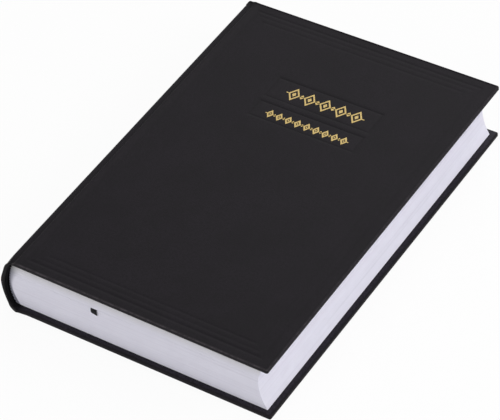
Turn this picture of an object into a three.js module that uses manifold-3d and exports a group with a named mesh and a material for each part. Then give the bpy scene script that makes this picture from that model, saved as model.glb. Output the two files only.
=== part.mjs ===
// A hardcover cash book with a rounded spine, closed, lying on its back cover.
// Millimetres, +Z up. X runs from the spine to the fore edge, Y from the tail to the head.
// The shapes are drawn with x = 0 at the outermost line of the spine, and the whole book is then
// moved so that the origin lies under the middle of it, on the table.
import * as THREE from "three";
import { mergeVertices } from "three/addons/utils/BufferGeometryUtils.js";
import Module from "manifold-3d";

const manifold = await Module();
manifold.setup();

// The book as a whole
const BOOK_WIDTH = 175.6;
const BOOK_HEIGHT = 251;
const BOOK_THICKNESS = 39.2;
const MIDDLE_Z = BOOK_THICKNESS / 2;
const HALF_HEIGHT = BOOK_HEIGHT / 2;

// The leaves
const LEAF_WIDTH = 165;
const LEAF_HEIGHT = 245;
const HALF_LEAF = LEAF_HEIGHT / 2;
const PAPER = 0.12;

// The covers: board between two layers of cloth
const COVER = 2.7;
const CLOTH = 0.35;
const FIT = 0.03;
const EDGE_BEVEL = 0.3;
const TURN_IN = 15.5;
const PASTEDOWN_MARGIN = 4;
const BOARD_SPINE_X = 10.3;
const INNER_TOP = BOOK_THICKNESS - COVER;

// The hinges of covers and leaves
const COVER_HINGE_X = 4.2;
const LEAF_HINGE_X = 10.5;
const HINGE_GAP = 0.3;
const JOINT_CLOTH = 0.45;
const JOINT_SLOPE_X = 9.3;

// The rounded spine: arcs about one centre, given by how far they lie outside the block
const BLOCK_RADIUS = 35.6;
const SPINE_WALL = 3;
const ARC_CENTRE_X = BLOCK_RADIUS + SPINE_WALL;
const ARC_STEPS = 14;
const STRIP_INSIDE = 1.65;
const STRIP_OUTSIDE = 2.55;
const SPINE_CLOTH_INSIDE = 2.6;
const SPINE_TURN_IN_INSIDE = 1.25;
const SPINE_TURN_IN_OUTSIDE = 1.6;
const SPINE_TURN_IN = 11.5;
const SPINE_CLOTH_END = 3.5;
const SPINE_STRIP_END = 3.7;
const LINING_INSIDE = 1;
const LINING_OUTSIDE = 1.2;
const LINING_HALF = 112;
const MULL_INSIDE = 0.75;
const MULL_OUTSIDE = 0.95;
const MULL_HALF = 114;
const LINING_END = 3.9;

// The sewing
const TAPE_INSIDE = 0.05;
const TAPE_OUTSIDE = 0.25;
const TAPE_WIDTH = 12;
const TAPE_PLACES = [-72, 0, 72];
const THREAD_RADIUS = 0.2;
const THREAD_LOW = 0.3;
const THREAD_OVER_TAPE = 0.5;
const THREAD_END = 104;
const THREAD_STEP = 1.5;

// The sections of the block, counted from the front cover
const SECTIONS = 16;
const SECTION_GAP = 0.04;
const FLYLEAF_FROM_BOARD = 0.23;
const FLYLEAF_GAP = 0.05;
const LOOSE_LEAVES = 2;
const LEAF_GAP = 0.04;
const FOLD_STEPS = 5;

// The ribbon marker lies under the fifth section
const RIBBON_UNDER_SECTION = 5;
const RIBBON_ROOM = 0.26;
const RIBBON_THICKNESS = 0.16;
const RIBBON_WIDTH = 4;
const RIBBON_TAIL_X = 61;
const RIBBON_HEAD_X = 12.5;
const RIBBON_OUT = 0.3;
const RIBBON_STUB_LEFT = 3;
const RIBBON_STUB_RIGHT = 3.9;
const RIBBON_GLUED_INSIDE = 0.3;
const RIBBON_GLUED_OUTSIDE = 0.46;
const RIBBON_GLUED_FROM = 113.5;

// The head and tail bands
const BAND_RADIUS = 0.8;
const BAND_SKIRT_FROM = 115;
const BAND_CORE_Y = 124.1;
const BAND_OFFSET = 0.4;
const BAND_SIDES = 8;

// The two sunken title panels and the gold ornament in them, on the front cover
const PANEL_LEFT = 60;
const PANEL_RIGHT = 130;
const PANEL_DEPTH = 0.18;
const UPPER_PANEL_FROM_HEAD = [51, 69];
const LOWER_PANEL_FROM_HEAD = [72.5, 87];
const FOIL = 0.08;
const FOIL_LINE = 0.6;
const UPPER_ORNAMENT = { fromHead: 60.5, from: 69.5, to: 122.5, count: 5, half: 5.5 };
const LOWER_ORNAMENT = { fromHead: 81, from: 68, to: 124, count: 9, half: 3.4 };
const ORNAMENT_SLIMNESS = 0.72;

const LEATHERETTE = new THREE.MeshStandardMaterial({ color: 0x2b292c, roughness: 0.62 });
const BOARD = new THREE.MeshStandardMaterial({ color: 0x8c8274, roughness: 0.9 });
const CARD = new THREE.MeshStandardMaterial({ color: 0xa89a84, roughness: 0.9 });
const PAGES = new THREE.MeshStandardMaterial({ color: 0xe3e1ea, roughness: 0.85 });
const ENDPAPER = new THREE.MeshStandardMaterial({ color: 0xeceae6, roughness: 0.8 });
const GOLD = new THREE.MeshStandardMaterial({ color: 0xd9b973, roughness: 0.3, metalness: 0.9 });
const COTTON = new THREE.MeshStandardMaterial({ color: 0xe8e2d2, roughness: 0.95 });
const RIBBON = new THREE.MeshStandardMaterial({ color: 0x16151a, roughness: 0.5 });
const BAND = new THREE.MeshStandardMaterial({ color: 0x1c1a20, roughness: 0.7 });

const book = new THREE.Group();
book.position.x = -BOOK_WIDTH / 2;

function addPiece(name, geometry, material) {
  const mesh = new THREE.Mesh(geometry, material);
  mesh.name = name;
  book.add(mesh);
}

// Closed solids from three.js geometries, joined and cut

function toSolid(geometry) {
  const bare = geometry.clone();
  bare.deleteAttribute("normal");
  bare.deleteAttribute("uv");
  const merged = mergeVertices(bare, 1e-4);
  return new manifold.Manifold(
    new manifold.Mesh({
      numProp: 3,
      vertProperties: merged.attributes.position.array,
      triVerts: new Uint32Array(merged.index.array),
    }),
  );
}

function toGeometry(solid) {
  const mesh = solid.getMesh();
  const geometry = new THREE.BufferGeometry();
  geometry.setAttribute("position", new THREE.BufferAttribute(mesh.vertProperties, mesh.numProp));
  geometry.setIndex(new THREE.BufferAttribute(mesh.triVerts, 1));
  const flat = geometry.toNonIndexed();
  flat.computeVertexNormals();
  return flat;
}

function join(geometries) {
  return toGeometry(geometries.map(toSolid).reduce((sum, solid) => sum.add(solid)));
}

function cut(geometry, ...tools) {
  return toGeometry(tools.map(toSolid).reduce((rest, tool) => rest.subtract(tool), toSolid(geometry)));
}

function block([x0, x1], [y0, y1], [z0, z1]) {
  const box = new THREE.BoxGeometry(x1 - x0, y1 - y0, z1 - z0);
  return box.translate((x0 + x1) / 2, (y0 + y1) / 2, (z0 + z1) / 2);
}

// An outline given as [x, z] points, extruded along Y
function extrudeAlongY(outline, y0, y1) {
  const shape = new THREE.Shape(outline.map(([x, z]) => new THREE.Vector2(x, z)));
  const solid = new THREE.ExtrudeGeometry(shape, { depth: y1 - y0, bevelEnabled: false });
  return solid.rotateX(Math.PI / 2).translate(0, y1, 0);
}

// An outline given as [x, y] points, extruded along Z
function extrudeAlongZ(outline, z0, z1) {
  const shape = new THREE.Shape(outline.map(([x, y]) => new THREE.Vector2(x, y)));
  const solid = new THREE.ExtrudeGeometry(shape, { depth: z1 - z0, bevelEnabled: false });
  return solid.translate(0, 0, z0);
}

// Where the rounded spine lies at height z, a given distance outside the block
function spineX(z, outside = 0) {
  const radius = BLOCK_RADIUS + outside;
  return ARC_CENTRE_X - Math.sqrt(radius ** 2 - (z - MIDDLE_Z) ** 2);
}

function arcPoints(outside, z0, z1, steps = ARC_STEPS) {
  return Array.from({ length: steps + 1 }, (_, i) => {
    const z = z0 + ((z1 - z0) * i) / steps;
    return [spineX(z, outside), z];
  });
}

// A curved layer of the spine, as thick as the space between two arcs
function spineLayer(inside, outside, [z0, z1], [y0, y1], steps = ARC_STEPS) {
  const outline = [...arcPoints(outside, z0, z1, steps), ...arcPoints(inside, z1, z0, steps)];
  return extrudeAlongY(outline, y0, y1);
}

// The same [x, z] outline at the other cover
function mirrored(outline) {
  return outline.map(([x, z]) => [x, BOOK_THICKNESS - z]).reverse();
}

// Where the block's layers lie, from the front cover down
const flyleafTop = INNER_TOP - FLYLEAF_FROM_BOARD;
const blockTop = flyleafTop - PAPER - FLYLEAF_GAP;
const blockBottom = BOOK_THICKNESS - blockTop;
const sectionPitch = (blockTop - blockBottom + SECTION_GAP - RIBBON_ROOM) / SECTIONS;
const leafHingeGapX = LEAF_HINGE_X + HINGE_GAP;
const looseLeafPitch = PAPER + LEAF_GAP;

function sectionHeights(number) {
  const below = number > RIBBON_UNDER_SECTION ? RIBBON_ROOM : 0;
  const top = blockTop - (number - 1) * sectionPitch - below;
  return [top - sectionPitch + SECTION_GAP, top];
}

// A folded section: a round fold at the spine, and leaves that end on the hollow fore edge
function sectionOutline(bottom, top, leavesOff = 0) {
  const middle = (bottom + top) / 2;
  const radius = (top - bottom) / 2;
  const fold = Array.from({ length: FOLD_STEPS + 1 }, (_, i) => {
    const angle = (Math.PI * i) / FOLD_STEPS;
    const z = middle - radius * Math.cos(angle);
    return [spineX(middle, -radius) - radius * Math.sin(angle), z];
  });
  const edge = top - leavesOff;
  const step = leavesOff > 0 ? [[LEAF_HINGE_X, top], [LEAF_HINGE_X, edge]] : [];
  const foreEdge = [[spineX(edge) + LEAF_WIDTH, edge], [spineX(bottom) + LEAF_WIDTH, bottom]];
  return [...fold, ...step, ...foreEdge].reverse();
}

function addSections() {
  for (let number = 1; number <= SECTIONS; number += 1) {
    const [bottom, top] = sectionHeights(number);
    const leavesOff = number === 1 ? LOOSE_LEAVES * looseLeafPitch : 0;
    const name = `section_${String(number).padStart(2, "0")}`;
    const solid = extrudeAlongY(sectionOutline(bottom, top, leavesOff), -HALF_LEAF, HALF_LEAF);
    addPiece(name, solid, PAGES);
  }
}

function addLeaf(name, z0, z1, material) {
  const foreEdge = spineX((z0 + z1) / 2) + LEAF_WIDTH;
  const solid = block([leafHingeGapX, foreEdge], [-HALF_LEAF, HALF_LEAF], [z0, z1]);
  addPiece(name, solid, material);
}

function addLooseLeaves() {
  for (let number = 1; number <= LOOSE_LEAVES; number += 1) {
    const top = blockTop - (number - 1) * looseLeafPitch;
    addLeaf(`leaf_${number}`, top - PAPER, top, PAGES);
  }
  addLeaf("front_flyleaf", flyleafTop - PAPER, flyleafTop, ENDPAPER);
  const low = BOOK_THICKNESS - flyleafTop;
  addLeaf("back_flyleaf", low, low + PAPER, ENDPAPER);
}

// The strip of endpaper that is glued down beside the fold and joins flyleaf and pastedown
function addHingeStrips() {
  const across = [COVER_HINGE_X + JOINT_CLOTH * 2, LEAF_HINGE_X - HINGE_GAP];
  const along = [-HALF_LEAF, HALF_LEAF];
  const low = BOOK_THICKNESS - flyleafTop;
  const front = block(across, along, [flyleafTop - PAPER, flyleafTop]);
  addPiece("front_hinge_strip", front, ENDPAPER);
  addPiece("back_hinge_strip", block(across, along, [low, low + PAPER]), ENDPAPER);
}

// One unbroken thread: along each fold, over the three tapes, and on to the next section
function threadPath() {
  const points = [];
  for (let number = 1; number <= SECTIONS; number += 1) {
    const [bottom, top] = sectionHeights(number);
    const z = (bottom + top) / 2;
    const forward = number % 2 === 1 ? 1 : -1;
    const stops = [[-THREAD_END, THREAD_LOW]];
    for (const tape of TAPE_PLACES) {
      const half = TAPE_WIDTH / 2;
      stops.push([tape - half - THREAD_STEP, THREAD_LOW], [tape - half, THREAD_OVER_TAPE]);
      stops.push([tape + half, THREAD_OVER_TAPE], [tape + half + THREAD_STEP, THREAD_LOW]);
    }
    stops.push([THREAD_END, THREAD_LOW]);
    const run = stops.map(([y, outside]) => new THREE.Vector3(spineX(z, outside), forward * y, z));
    points.push(...run);
  }
  return points;
}

// A tube of square section along straight stretches, mitred at each corner
function mitredTube(points, radius) {
  const corners = [];
  for (let i = 0; i < points.length; i += 1) {
    const before = points[Math.max(i - 1, 0)];
    const after = points[Math.min(i + 1, points.length - 1)];
    const along = after.clone().sub(before).normalize();
    const out = new THREE.Vector3(-1, 0, 0);
    out.addScaledVector(along, -out.dot(along)).normalize();
    const side = along.clone().cross(out);
    for (const [a, b] of [[1, 0], [0, 1], [-1, 0], [0, -1]]) {
      const corner = points[i].clone().addScaledVector(out, a * radius).addScaledVector(side, b * radius);
      corners.push(corner.x, corner.y, corner.z);
    }
  }
  const faces = [0, 2, 1, 0, 3, 2];
  for (let i = 0; i + 1 < points.length; i += 1) {
    for (let k = 0; k < 4; k += 1) {
      const a = i * 4 + k;
      const b = i * 4 + ((k + 1) % 4);
      faces.push(a, b, b + 4, a, b + 4, a + 4);
    }
  }
  const last = (points.length - 1) * 4;
  faces.push(last, last + 1, last + 2, last, last + 2, last + 3);
  const geometry = new THREE.BufferGeometry();
  geometry.setAttribute("position", new THREE.Float32BufferAttribute(corners, 3));
  geometry.setIndex(faces);
  return geometry;
}

function addSewing() {
  const heights = [LINING_END, BOOK_THICKNESS - LINING_END];
  TAPE_PLACES.forEach((middle, i) => {
    const along = [middle - TAPE_WIDTH / 2, middle + TAPE_WIDTH / 2];
    addPiece(`sewing_tape_${i + 1}`, spineLayer(TAPE_INSIDE, TAPE_OUTSIDE, heights, along), COTTON);
  });
  addPiece("sewing_thread", toGeometry(toSolid(mitredTube(threadPath(), THREAD_RADIUS))), COTTON);
  addPiece("mull", spineLayer(MULL_INSIDE, MULL_OUTSIDE, heights, [-MULL_HALF, MULL_HALF]), COTTON);
  const lining = spineLayer(LINING_INSIDE, LINING_OUTSIDE, heights, [-LINING_HALF, LINING_HALF]);
  addPiece("spine_lining", lining, CARD);
}

// A bead over the end of the block's spine, on a skirt that is glued to the folds
function addBands() {
  const heights = [LINING_END, BOOK_THICKNESS - LINING_END];
  for (const [name, sign] of [["head_band", 1], ["tail_band", -1]]) {
    const rim = arcPoints(BAND_OFFSET, ...heights).map(([x, z]) => new THREE.Vector3(x, sign * BAND_CORE_Y, z));
    const bead = new THREE.Shape();
    bead.absarc(0, 0, BAND_RADIUS, 0, 2 * Math.PI);
    const tube = new THREE.ExtrudeGeometry(bead, {
      extrudePath: new THREE.CatmullRomCurve3(rim),
      steps: ARC_STEPS,
      curveSegments: BAND_SIDES / 2,
      bevelEnabled: false,
    });
    const along = [sign * BAND_SKIRT_FROM, sign * BAND_CORE_Y].sort((a, b) => a - b);
    const skirt = spineLayer(MULL_INSIDE, MULL_OUTSIDE, heights, along);
    addPiece(name, join([tube, skirt]), BAND);
  }
}

// The marker: glued on the spine, over the head, down between the leaves, and out at the tail
function addRibbon() {
  const under = sectionHeights(RIBBON_UNDER_SECTION)[0];
  const z = under - (RIBBON_ROOM + SECTION_GAP - RIBBON_THICKNESS) / 2 - RIBBON_THICKNESS;
  const top = z + RIBBON_THICKNESS;
  const end = HALF_LEAF + RIBBON_OUT;
  const half = RIBBON_WIDTH / 2;
  const marker = extrudeAlongZ(
    [
      [RIBBON_TAIL_X - half, -end],
      [RIBBON_TAIL_X + half, -end],
      [RIBBON_HEAD_X + half, end],
      [RIBBON_HEAD_X - half, end],
    ],
    z,
    top,
  );
  const stub = extrudeAlongY(
    [
      [RIBBON_TAIL_X - half, top],
      [RIBBON_TAIL_X - half, top - RIBBON_STUB_LEFT],
      [RIBBON_TAIL_X + half, top - RIBBON_STUB_RIGHT],
      [RIBBON_TAIL_X + half, top],
    ],
    -end,
    -end + RIBBON_THICKNESS,
  );
  const glued = spineLayer(
    RIBBON_GLUED_INSIDE,
    RIBBON_GLUED_OUTSIDE,
    [top - RIBBON_WIDTH, top],
    [RIBBON_GLUED_FROM, end],
    2,
  );
  const overHead = block(
    [spineX(top - half, RIBBON_GLUED_OUTSIDE), RIBBON_HEAD_X + half],
    [end - RIBBON_THICKNESS, end],
    [top - RIBBON_WIDTH, top],
  );
  addPiece("ribbon_marker", join([marker, stub, glued, overHead]), RIBBON);
}

// The hollow back of the case: a curved card strip, and the cloth over it, turned in at both ends
function addSpine() {
  const stripEnds = [-HALF_HEIGHT + CLOTH + FIT, HALF_HEIGHT - CLOTH - FIT];
  const stripHeights = [SPINE_STRIP_END, BOOK_THICKNESS - SPINE_STRIP_END];
  addPiece("spine_strip", spineLayer(STRIP_INSIDE, STRIP_OUTSIDE, stripHeights, stripEnds), CARD);

  const heights = [SPINE_CLOTH_END, BOOK_THICKNESS - SPINE_CLOTH_END];
  const outer = spineLayer(SPINE_CLOTH_INSIDE, SPINE_WALL, heights, [-HALF_HEIGHT, HALF_HEIGHT]);
  const layers = [outer];
  for (const sign of [-1, 1]) {
    const cap = [HALF_HEIGHT - CLOTH, HALF_HEIGHT].map((y) => sign * y).sort((a, b) => a - b);
    const inner = [HALF_HEIGHT - SPINE_TURN_IN, HALF_HEIGHT].map((y) => sign * y).sort((a, b) => a - b);
    layers.push(spineLayer(SPINE_TURN_IN_INSIDE, SPINE_WALL, heights, cap));
    layers.push(spineLayer(SPINE_TURN_IN_INSIDE, SPINE_TURN_IN_OUTSIDE, heights, inner));
  }
  addPiece("spine_cloth", join(layers), LEATHERETTE);
}

// The cloth of the front cover, seen from the tail: joint strip, outer face, fore edge, turn-in
function coverOutline() {
  const bevel = EDGE_BEVEL;
  const jointX = COVER_HINGE_X + HINGE_GAP;
  const jointBottom = INNER_TOP + FIT;
  const boardCorner = BOARD_SPINE_X - CLOTH;
  return [
    [jointX, jointBottom],
    [BOARD_SPINE_X, jointBottom],
    [BOARD_SPINE_X, INNER_TOP],
    [BOOK_WIDTH - bevel, INNER_TOP],
    [BOOK_WIDTH, INNER_TOP + bevel],
    [BOOK_WIDTH, BOOK_THICKNESS - bevel],
    [BOOK_WIDTH - bevel, BOOK_THICKNESS],
    [boardCorner + bevel, BOOK_THICKNESS],
    [boardCorner, BOOK_THICKNESS - bevel],
    [JOINT_SLOPE_X, jointBottom + JOINT_CLOTH],
    [jointX, jointBottom + JOINT_CLOTH],
  ];
}

const boardX = [BOARD_SPINE_X, BOOK_WIDTH - CLOTH - FIT];
const boardY = [-HALF_HEIGHT + CLOTH + FIT, HALF_HEIGHT - CLOTH - FIT];
const boardZ = [INNER_TOP + CLOTH + FIT, BOOK_THICKNESS - CLOTH - FIT];
const windowX = [BOARD_SPINE_X, BOOK_WIDTH - TURN_IN];
const windowY = [-HALF_HEIGHT + TURN_IN, HALF_HEIGHT - TURN_IN];

// A span of heights at the front cover, or at the back cover when the book is turned over
function atCover(isFront, [z0, z1]) {
  return isFront ? [z0, z1] : [BOOK_THICKNESS - z1, BOOK_THICKNESS - z0];
}

const grown = ([low, high], by) => [low - by, high + by];

function coverCloth(isFront) {
  const outline = isFront ? coverOutline() : mirrored(coverOutline());
  const cloth = extrudeAlongY(outline, -HALF_HEIGHT, HALF_HEIGHT);
  const pocket = block(grown(boardX, FIT), grown(boardY, FIT), grown(atCover(isFront, boardZ), FIT));
  const windowZ = [INNER_TOP - COVER, INNER_TOP + CLOTH + 2 * FIT];
  return [cloth, pocket, block(windowX, windowY, atCover(isFront, windowZ))];
}

// The pastedown lies on the turned-in cloth and fills the space between its edges
function pastedown(isFront) {
  const sheetX = [BOARD_SPINE_X + FIT, BOOK_WIDTH - PASTEDOWN_MARGIN];
  const sheetY = grown(boardY, -PASTEDOWN_MARGIN);
  const sheet = block(sheetX, sheetY, atCover(isFront, [INNER_TOP - FIT - PAPER, INNER_TOP - FIT]));
  const fillX = grown(windowX, -FIT);
  const fillY = grown(windowY, -FIT);
  const fill = block(fillX, fillY, atCover(isFront, [INNER_TOP - FIT - PAPER / 2, boardZ[0] - FIT]));
  return join([sheet, fill]);
}

function panelBlock([fromHead, toHead]) {
  const along = [HALF_HEIGHT - toHead, HALF_HEIGHT - fromHead];
  return block([PANEL_LEFT, PANEL_RIGHT], along, [BOOK_THICKNESS - PANEL_DEPTH, BOOK_THICKNESS + COVER]);
}

// A row of lozenges joined by a thin line, with a smaller lozenge between each two
function ornament({ fromHead, from, to, count, half }) {
  const y = HALF_HEIGHT - fromHead;
  const z = BOOK_THICKNESS - PANEL_DEPTH + FIT;
  const pitch = (to - from) / count;
  const lozenge = (x, high, wide) => [[x - wide, y], [x, y - high], [x + wide, y], [x, y + high]];
  const wide = (pitch / 2) * ORNAMENT_SLIMNESS;
  const figures = [];
  for (let i = 0; i < count; i += 1) {
    const x = from + pitch * (i + 0.5);
    figures.push(lozenge(x, half, wide));
    if (i > 0) figures.push(lozenge(x - pitch / 2, half * 0.35, pitch * 0.16));
  }
  const line = block([from, to], [y - FOIL_LINE / 2, y + FOIL_LINE / 2], [z, z + FOIL]);
  return join([line, ...figures.map((figure) => extrudeAlongZ(figure, z, z + FOIL))]);
}

function addCovers() {
  const [frontCloth, ...frontHollows] = coverCloth(true);
  const panels = [UPPER_PANEL_FROM_HEAD, LOWER_PANEL_FROM_HEAD].map(panelBlock);
  addPiece("front_cover_cloth", cut(frontCloth, ...frontHollows, ...panels), LEATHERETTE);
  addPiece("front_board", block(boardX, boardY, boardZ), BOARD);
  addPiece("front_pastedown", pastedown(true), ENDPAPER);
  addPiece("title_ornament_upper", ornament(UPPER_ORNAMENT), GOLD);
  addPiece("title_ornament_lower", ornament(LOWER_ORNAMENT), GOLD);

  addPiece("back_cover_cloth", cut(...coverCloth(false)), LEATHERETTE);
  addPiece("back_board", block(boardX, boardY, atCover(false, boardZ)), BOARD);
  addPiece("back_pastedown", pastedown(false), ENDPAPER);
}

addSections();
addLooseLeaves();
addHingeStrips();
addSewing();
addBands();
addRibbon();
addSpine();
addCovers();

export default book;
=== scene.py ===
"""Looks of a hardcover cash book: leatherette case, sewn leaves, bands, marker and studio.

Sizes are millimetres in the drawing's frame: x from the outermost line of the spine to the fore
edge, y from the tail (minus) to the head, z up from the table. Meshes are put in metres in the
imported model's frame when they are made. Sizes in materials are metres.
"""

from __future__ import annotations

import logging
import math
from collections.abc import Callable, Sequence
from dataclasses import dataclass
from enum import Enum
from functools import cached_property

import bmesh
import bpy
import numpy as np
from mathutils import Matrix, Vector


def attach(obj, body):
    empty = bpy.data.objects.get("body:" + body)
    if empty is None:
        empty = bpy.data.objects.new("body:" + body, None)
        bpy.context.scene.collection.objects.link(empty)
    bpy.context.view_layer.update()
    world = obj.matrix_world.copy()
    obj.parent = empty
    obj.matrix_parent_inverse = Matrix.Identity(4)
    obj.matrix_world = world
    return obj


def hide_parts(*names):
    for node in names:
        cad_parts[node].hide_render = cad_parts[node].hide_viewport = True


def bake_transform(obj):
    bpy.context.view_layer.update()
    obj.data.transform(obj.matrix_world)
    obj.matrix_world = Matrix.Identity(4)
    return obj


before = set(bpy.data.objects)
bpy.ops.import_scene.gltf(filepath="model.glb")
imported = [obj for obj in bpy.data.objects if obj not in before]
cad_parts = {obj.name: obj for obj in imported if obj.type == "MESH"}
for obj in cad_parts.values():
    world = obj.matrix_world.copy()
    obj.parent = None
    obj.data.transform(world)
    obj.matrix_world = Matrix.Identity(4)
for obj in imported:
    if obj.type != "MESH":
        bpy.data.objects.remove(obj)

LOG = logging.getLogger("cash_book")
MM = 0.001
SPINE_TO_ORIGIN = 87.8
SURFACE_UV = "Surface"
SHADER, GEOMETRY = "ShaderNodeTree", "GeometryNodeTree"
Array = np.ndarray
Pair = tuple[float, float]
Colour = Place = tuple[float, float, float]
Face = tuple[int, ...]
Piece, Material = bpy.types.Object, bpy.types.Material
Socket, NodeTree = bpy.types.NodeSocket, bpy.types.NodeTree


class Side(Enum):
    """Which cover a piece belongs to."""

    FRONT = "front"
    BACK = "back"


class End(Enum):
    """Which end of the spine a piece belongs to."""

    HEAD = 1
    TAIL = -1


@dataclass(frozen=True)
class BookSizes:
    """The sizes that several sub-assemblies share, closed and lying on the back cover."""

    width: float = 175.6
    height: float = 251.0
    thickness: float = 39.2
    cover: float = 2.1
    leaf_width: float = 164.75
    leaf_height: float = 245.0
    leaf_trim: float = 0.05
    block_radius: float = 35.6
    arc_centre_x: float = 38.6
    spine_wall: float = 3.0
    leaf_hinge_x: float = 10.5
    board_spine_x: float = 10.3
    turn_in: float = 15.5
    block_top: float = 36.7
    block_bottom: float = 2.5
    block_to_tail: float = 0.5
    sections: int = 16
    section_gap: float = 0.04
    ribbon_under: int = 5
    ribbon_room: float = 0.26
    lean_heights: tuple[float, ...] = (1.0, 6.0, 10.6, 15.5, 20.6, 26.0, 30.0)
    block_lean: tuple[float, ...] = (3.5, 3.1, 2.6, 1.75, 1.0, 0.35, 0.0)
    case_heights: tuple[float, ...] = (0.0, 3.0, 9.0, 15.0, 21.5, 25.0, 29.0)
    case_lean: tuple[float, ...] = (3.1, 2.6, 2.1, 1.9, 1.8, 0.9, 0.0)
    lean_spread: float = 2.4
    lean_samples: int = 9

    @property
    def middle(self) -> float:
        """Height of the middle of the closed book."""
        return self.thickness / 2

    @property
    def half_height(self) -> float:
        """Half the height of the covers."""
        return self.height / 2

    @property
    def half_leaf(self) -> float:
        """Half the height of the leaves."""
        return self.leaf_height / 2

    @property
    def inner_top(self) -> float:
        """Height of the front board's inner face."""
        return self.thickness - self.cover

    @property
    def leaf_places(self) -> Array:
        """Places up a single leaf, from its tail to its head."""
        half = self.half_leaf - self.leaf_trim
        return joined(spaced(-half - self.block_to_tail, half - self.block_to_tail, 20.0))

    def arc_x(self, z: float, outside: float = 0.0) -> float:
        """Where an arc about the spine's centre lies at a height, some way outside the block."""
        radius = self.block_radius + outside
        return self.arc_centre_x - math.sqrt(radius**2 - (z - self.middle) ** 2)

    def lean(self, z: float | Array, outside: float) -> float | Array:
        """How far the spine's own weight has pushed one of its layers out past its arc.

        Args:
            z: Height above the table.
            outside: Distance of the layer outside the block.

        Returns:
            The distance, most near the table.
        """
        total = 0.0
        for shift in np.linspace(-self.lean_spread, self.lean_spread, self.lean_samples):
            near = np.interp(z + shift, self.lean_heights, self.block_lean)
            far = np.interp(z + shift, self.case_heights, self.case_lean)
            total = total + near + (far - near) * outside / self.spine_wall
        return total / self.lean_samples

    def spine_x(self, z: float, outside: float = 0.0) -> float:
        """Where a layer of the rounded spine lies at a height, some way outside the block."""
        return self.arc_x(z, outside) - float(self.lean(z, outside))

    def section_span(self, number: int) -> Pair:
        """The room of a section.

        Args:
            number: The section, counted from the front cover.

        Returns:
            Its bottom and top.
        """
        room = self.block_top - self.block_bottom + self.section_gap - self.ribbon_room
        pitch = room / self.sections
        below = self.ribbon_room if number > self.ribbon_under else 0.0
        top = self.block_top - (number - 1) * pitch - below
        return top - pitch + self.section_gap, top


BOOK = BookSizes()


# Meshes


def to_frame(points: Array) -> Array:
    """Points of the drawing, in millimetres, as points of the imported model, in metres."""
    return (points - np.array([SPINE_TO_ORIGIN, 0.0, 0.0])) * MM


def mirrored_height(points: Array) -> Array:
    """The same points at the other cover."""
    return points * (1.0, 1.0, -1.0) + (0.0, 0.0, BOOK.thickness)


def grid_faces(rows: int, columns: int, start: int = 0) -> list[Face]:
    """Quads over a grid of points that are numbered row by row from a start."""
    corners = [start + row * columns + i for row in range(rows - 1) for i in range(columns - 1)]
    return [(a, a + 1, a + columns + 1, a + columns) for a in corners]


def lengths_along(line: Array) -> Array:
    """How far each point of a line lies along it."""
    return np.concatenate([[0], np.cumsum(np.hypot(*np.diff(line, axis=0).T))])


def put_in_scene(name: str, data: bpy.types.ID) -> Piece:
    """Puts a mesh, a lamp or a camera in the scene, at the origin."""
    placed = bpy.data.objects.new(name, data)
    bpy.context.scene.collection.objects.link(placed)
    return placed


def make_piece(
    name: str, points: Array, faces: Sequence[Face], uv: Array | None = None,
    values: dict[str, Array] | None = None, flip: bool = False,
) -> Piece:
    """Makes a mesh object from drawing points.

    Args:
        name: The piece's name.
        points: Points in drawing millimetres.
        faces: Point numbers of each face.
        uv: One pair for each point, in metres along the surface.
        values: Array for each point, by attribute name.
        flip: Whether the faces turn round.

    Returns:
        The object, at the origin, with its place in its mesh.
    """
    mesh = bpy.data.meshes.new(name)
    order = [tuple(reversed(face)) for face in faces] if flip else list(faces)
    mesh.from_pydata(to_frame(points).tolist(), [], order)
    if uv is not None:
        layer = mesh.uv_layers.new(name=SURFACE_UV)
        corners = np.empty(len(mesh.loops), np.int32)
        mesh.loops.foreach_get("vertex_index", corners)
        layer.data.foreach_set("uv", np.asarray(uv, np.float32)[corners].ravel())
    for label, numbers in (values or {}).items():
        attribute = mesh.attributes.new(label, "FLOAT", "POINT")
        attribute.data.foreach_set("value", np.asarray(numbers, np.float32))
    mesh.validate()
    mesh.update()
    return put_in_scene(name, mesh)


def start_piece(name: str, points: Sequence[Sequence[float]] = ()) -> Piece:
    """Makes a piece with no faces, for a tree to start from.

    Args:
        name: The piece's name.
        points: Drawing points of an open line, or none.

    Returns:
        The piece.
    """
    mesh = bpy.data.meshes.new(name)
    places = to_frame(np.array(points, float)).tolist() if len(points) else []
    mesh.from_pydata(places, [(i, i + 1) for i in range(len(points) - 1)], [])
    return put_in_scene(name, mesh)


def merge_close(piece: Piece, distance: float = 2e-6) -> None:
    """Merges points that lie within a distance, in metres, of each other."""
    work = bmesh.new()
    work.from_mesh(piece.data)
    bmesh.ops.remove_doubles(work, verts=work.verts, dist=distance)
    bmesh.ops.dissolve_degenerate(work, edges=work.edges, dist=distance / 2)
    work.to_mesh(piece.data)
    work.free()


def bake_modifiers(piece: Piece) -> None:
    """Turns what the modifiers make into the piece's plain mesh, and removes them.

    Args:
        piece: The piece.
    """
    bpy.context.view_layer.update()
    evaluated = piece.evaluated_get(bpy.context.evaluated_depsgraph_get())
    mesh = bpy.data.meshes.new_from_object(evaluated)
    mesh.name = piece.name
    piece.modifiers.clear()
    piece.data = mesh


def thicken(piece: Piece, thickness: float, offset: float = -1.0) -> None:
    """Gives an open surface a wall.

    Args:
        piece: The surface.
        thickness: The wall in millimetres.
        offset: -1 puts the wall behind the surface, and 0 puts it on both sides.
    """
    solidify = piece.modifiers.new("wall", "SOLIDIFY")
    solidify.thickness = thickness * MM
    solidify.offset = offset
    bake_modifiers(piece)


def smooth(piece: Piece, sharp_above: float = 50.0) -> None:
    """Shades a piece smoothly, apart from edges sharper than an angle in degrees."""
    piece.data.shade_smooth()
    piece.data.set_sharp_from_angle(angle=math.radians(sharp_above))


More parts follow.
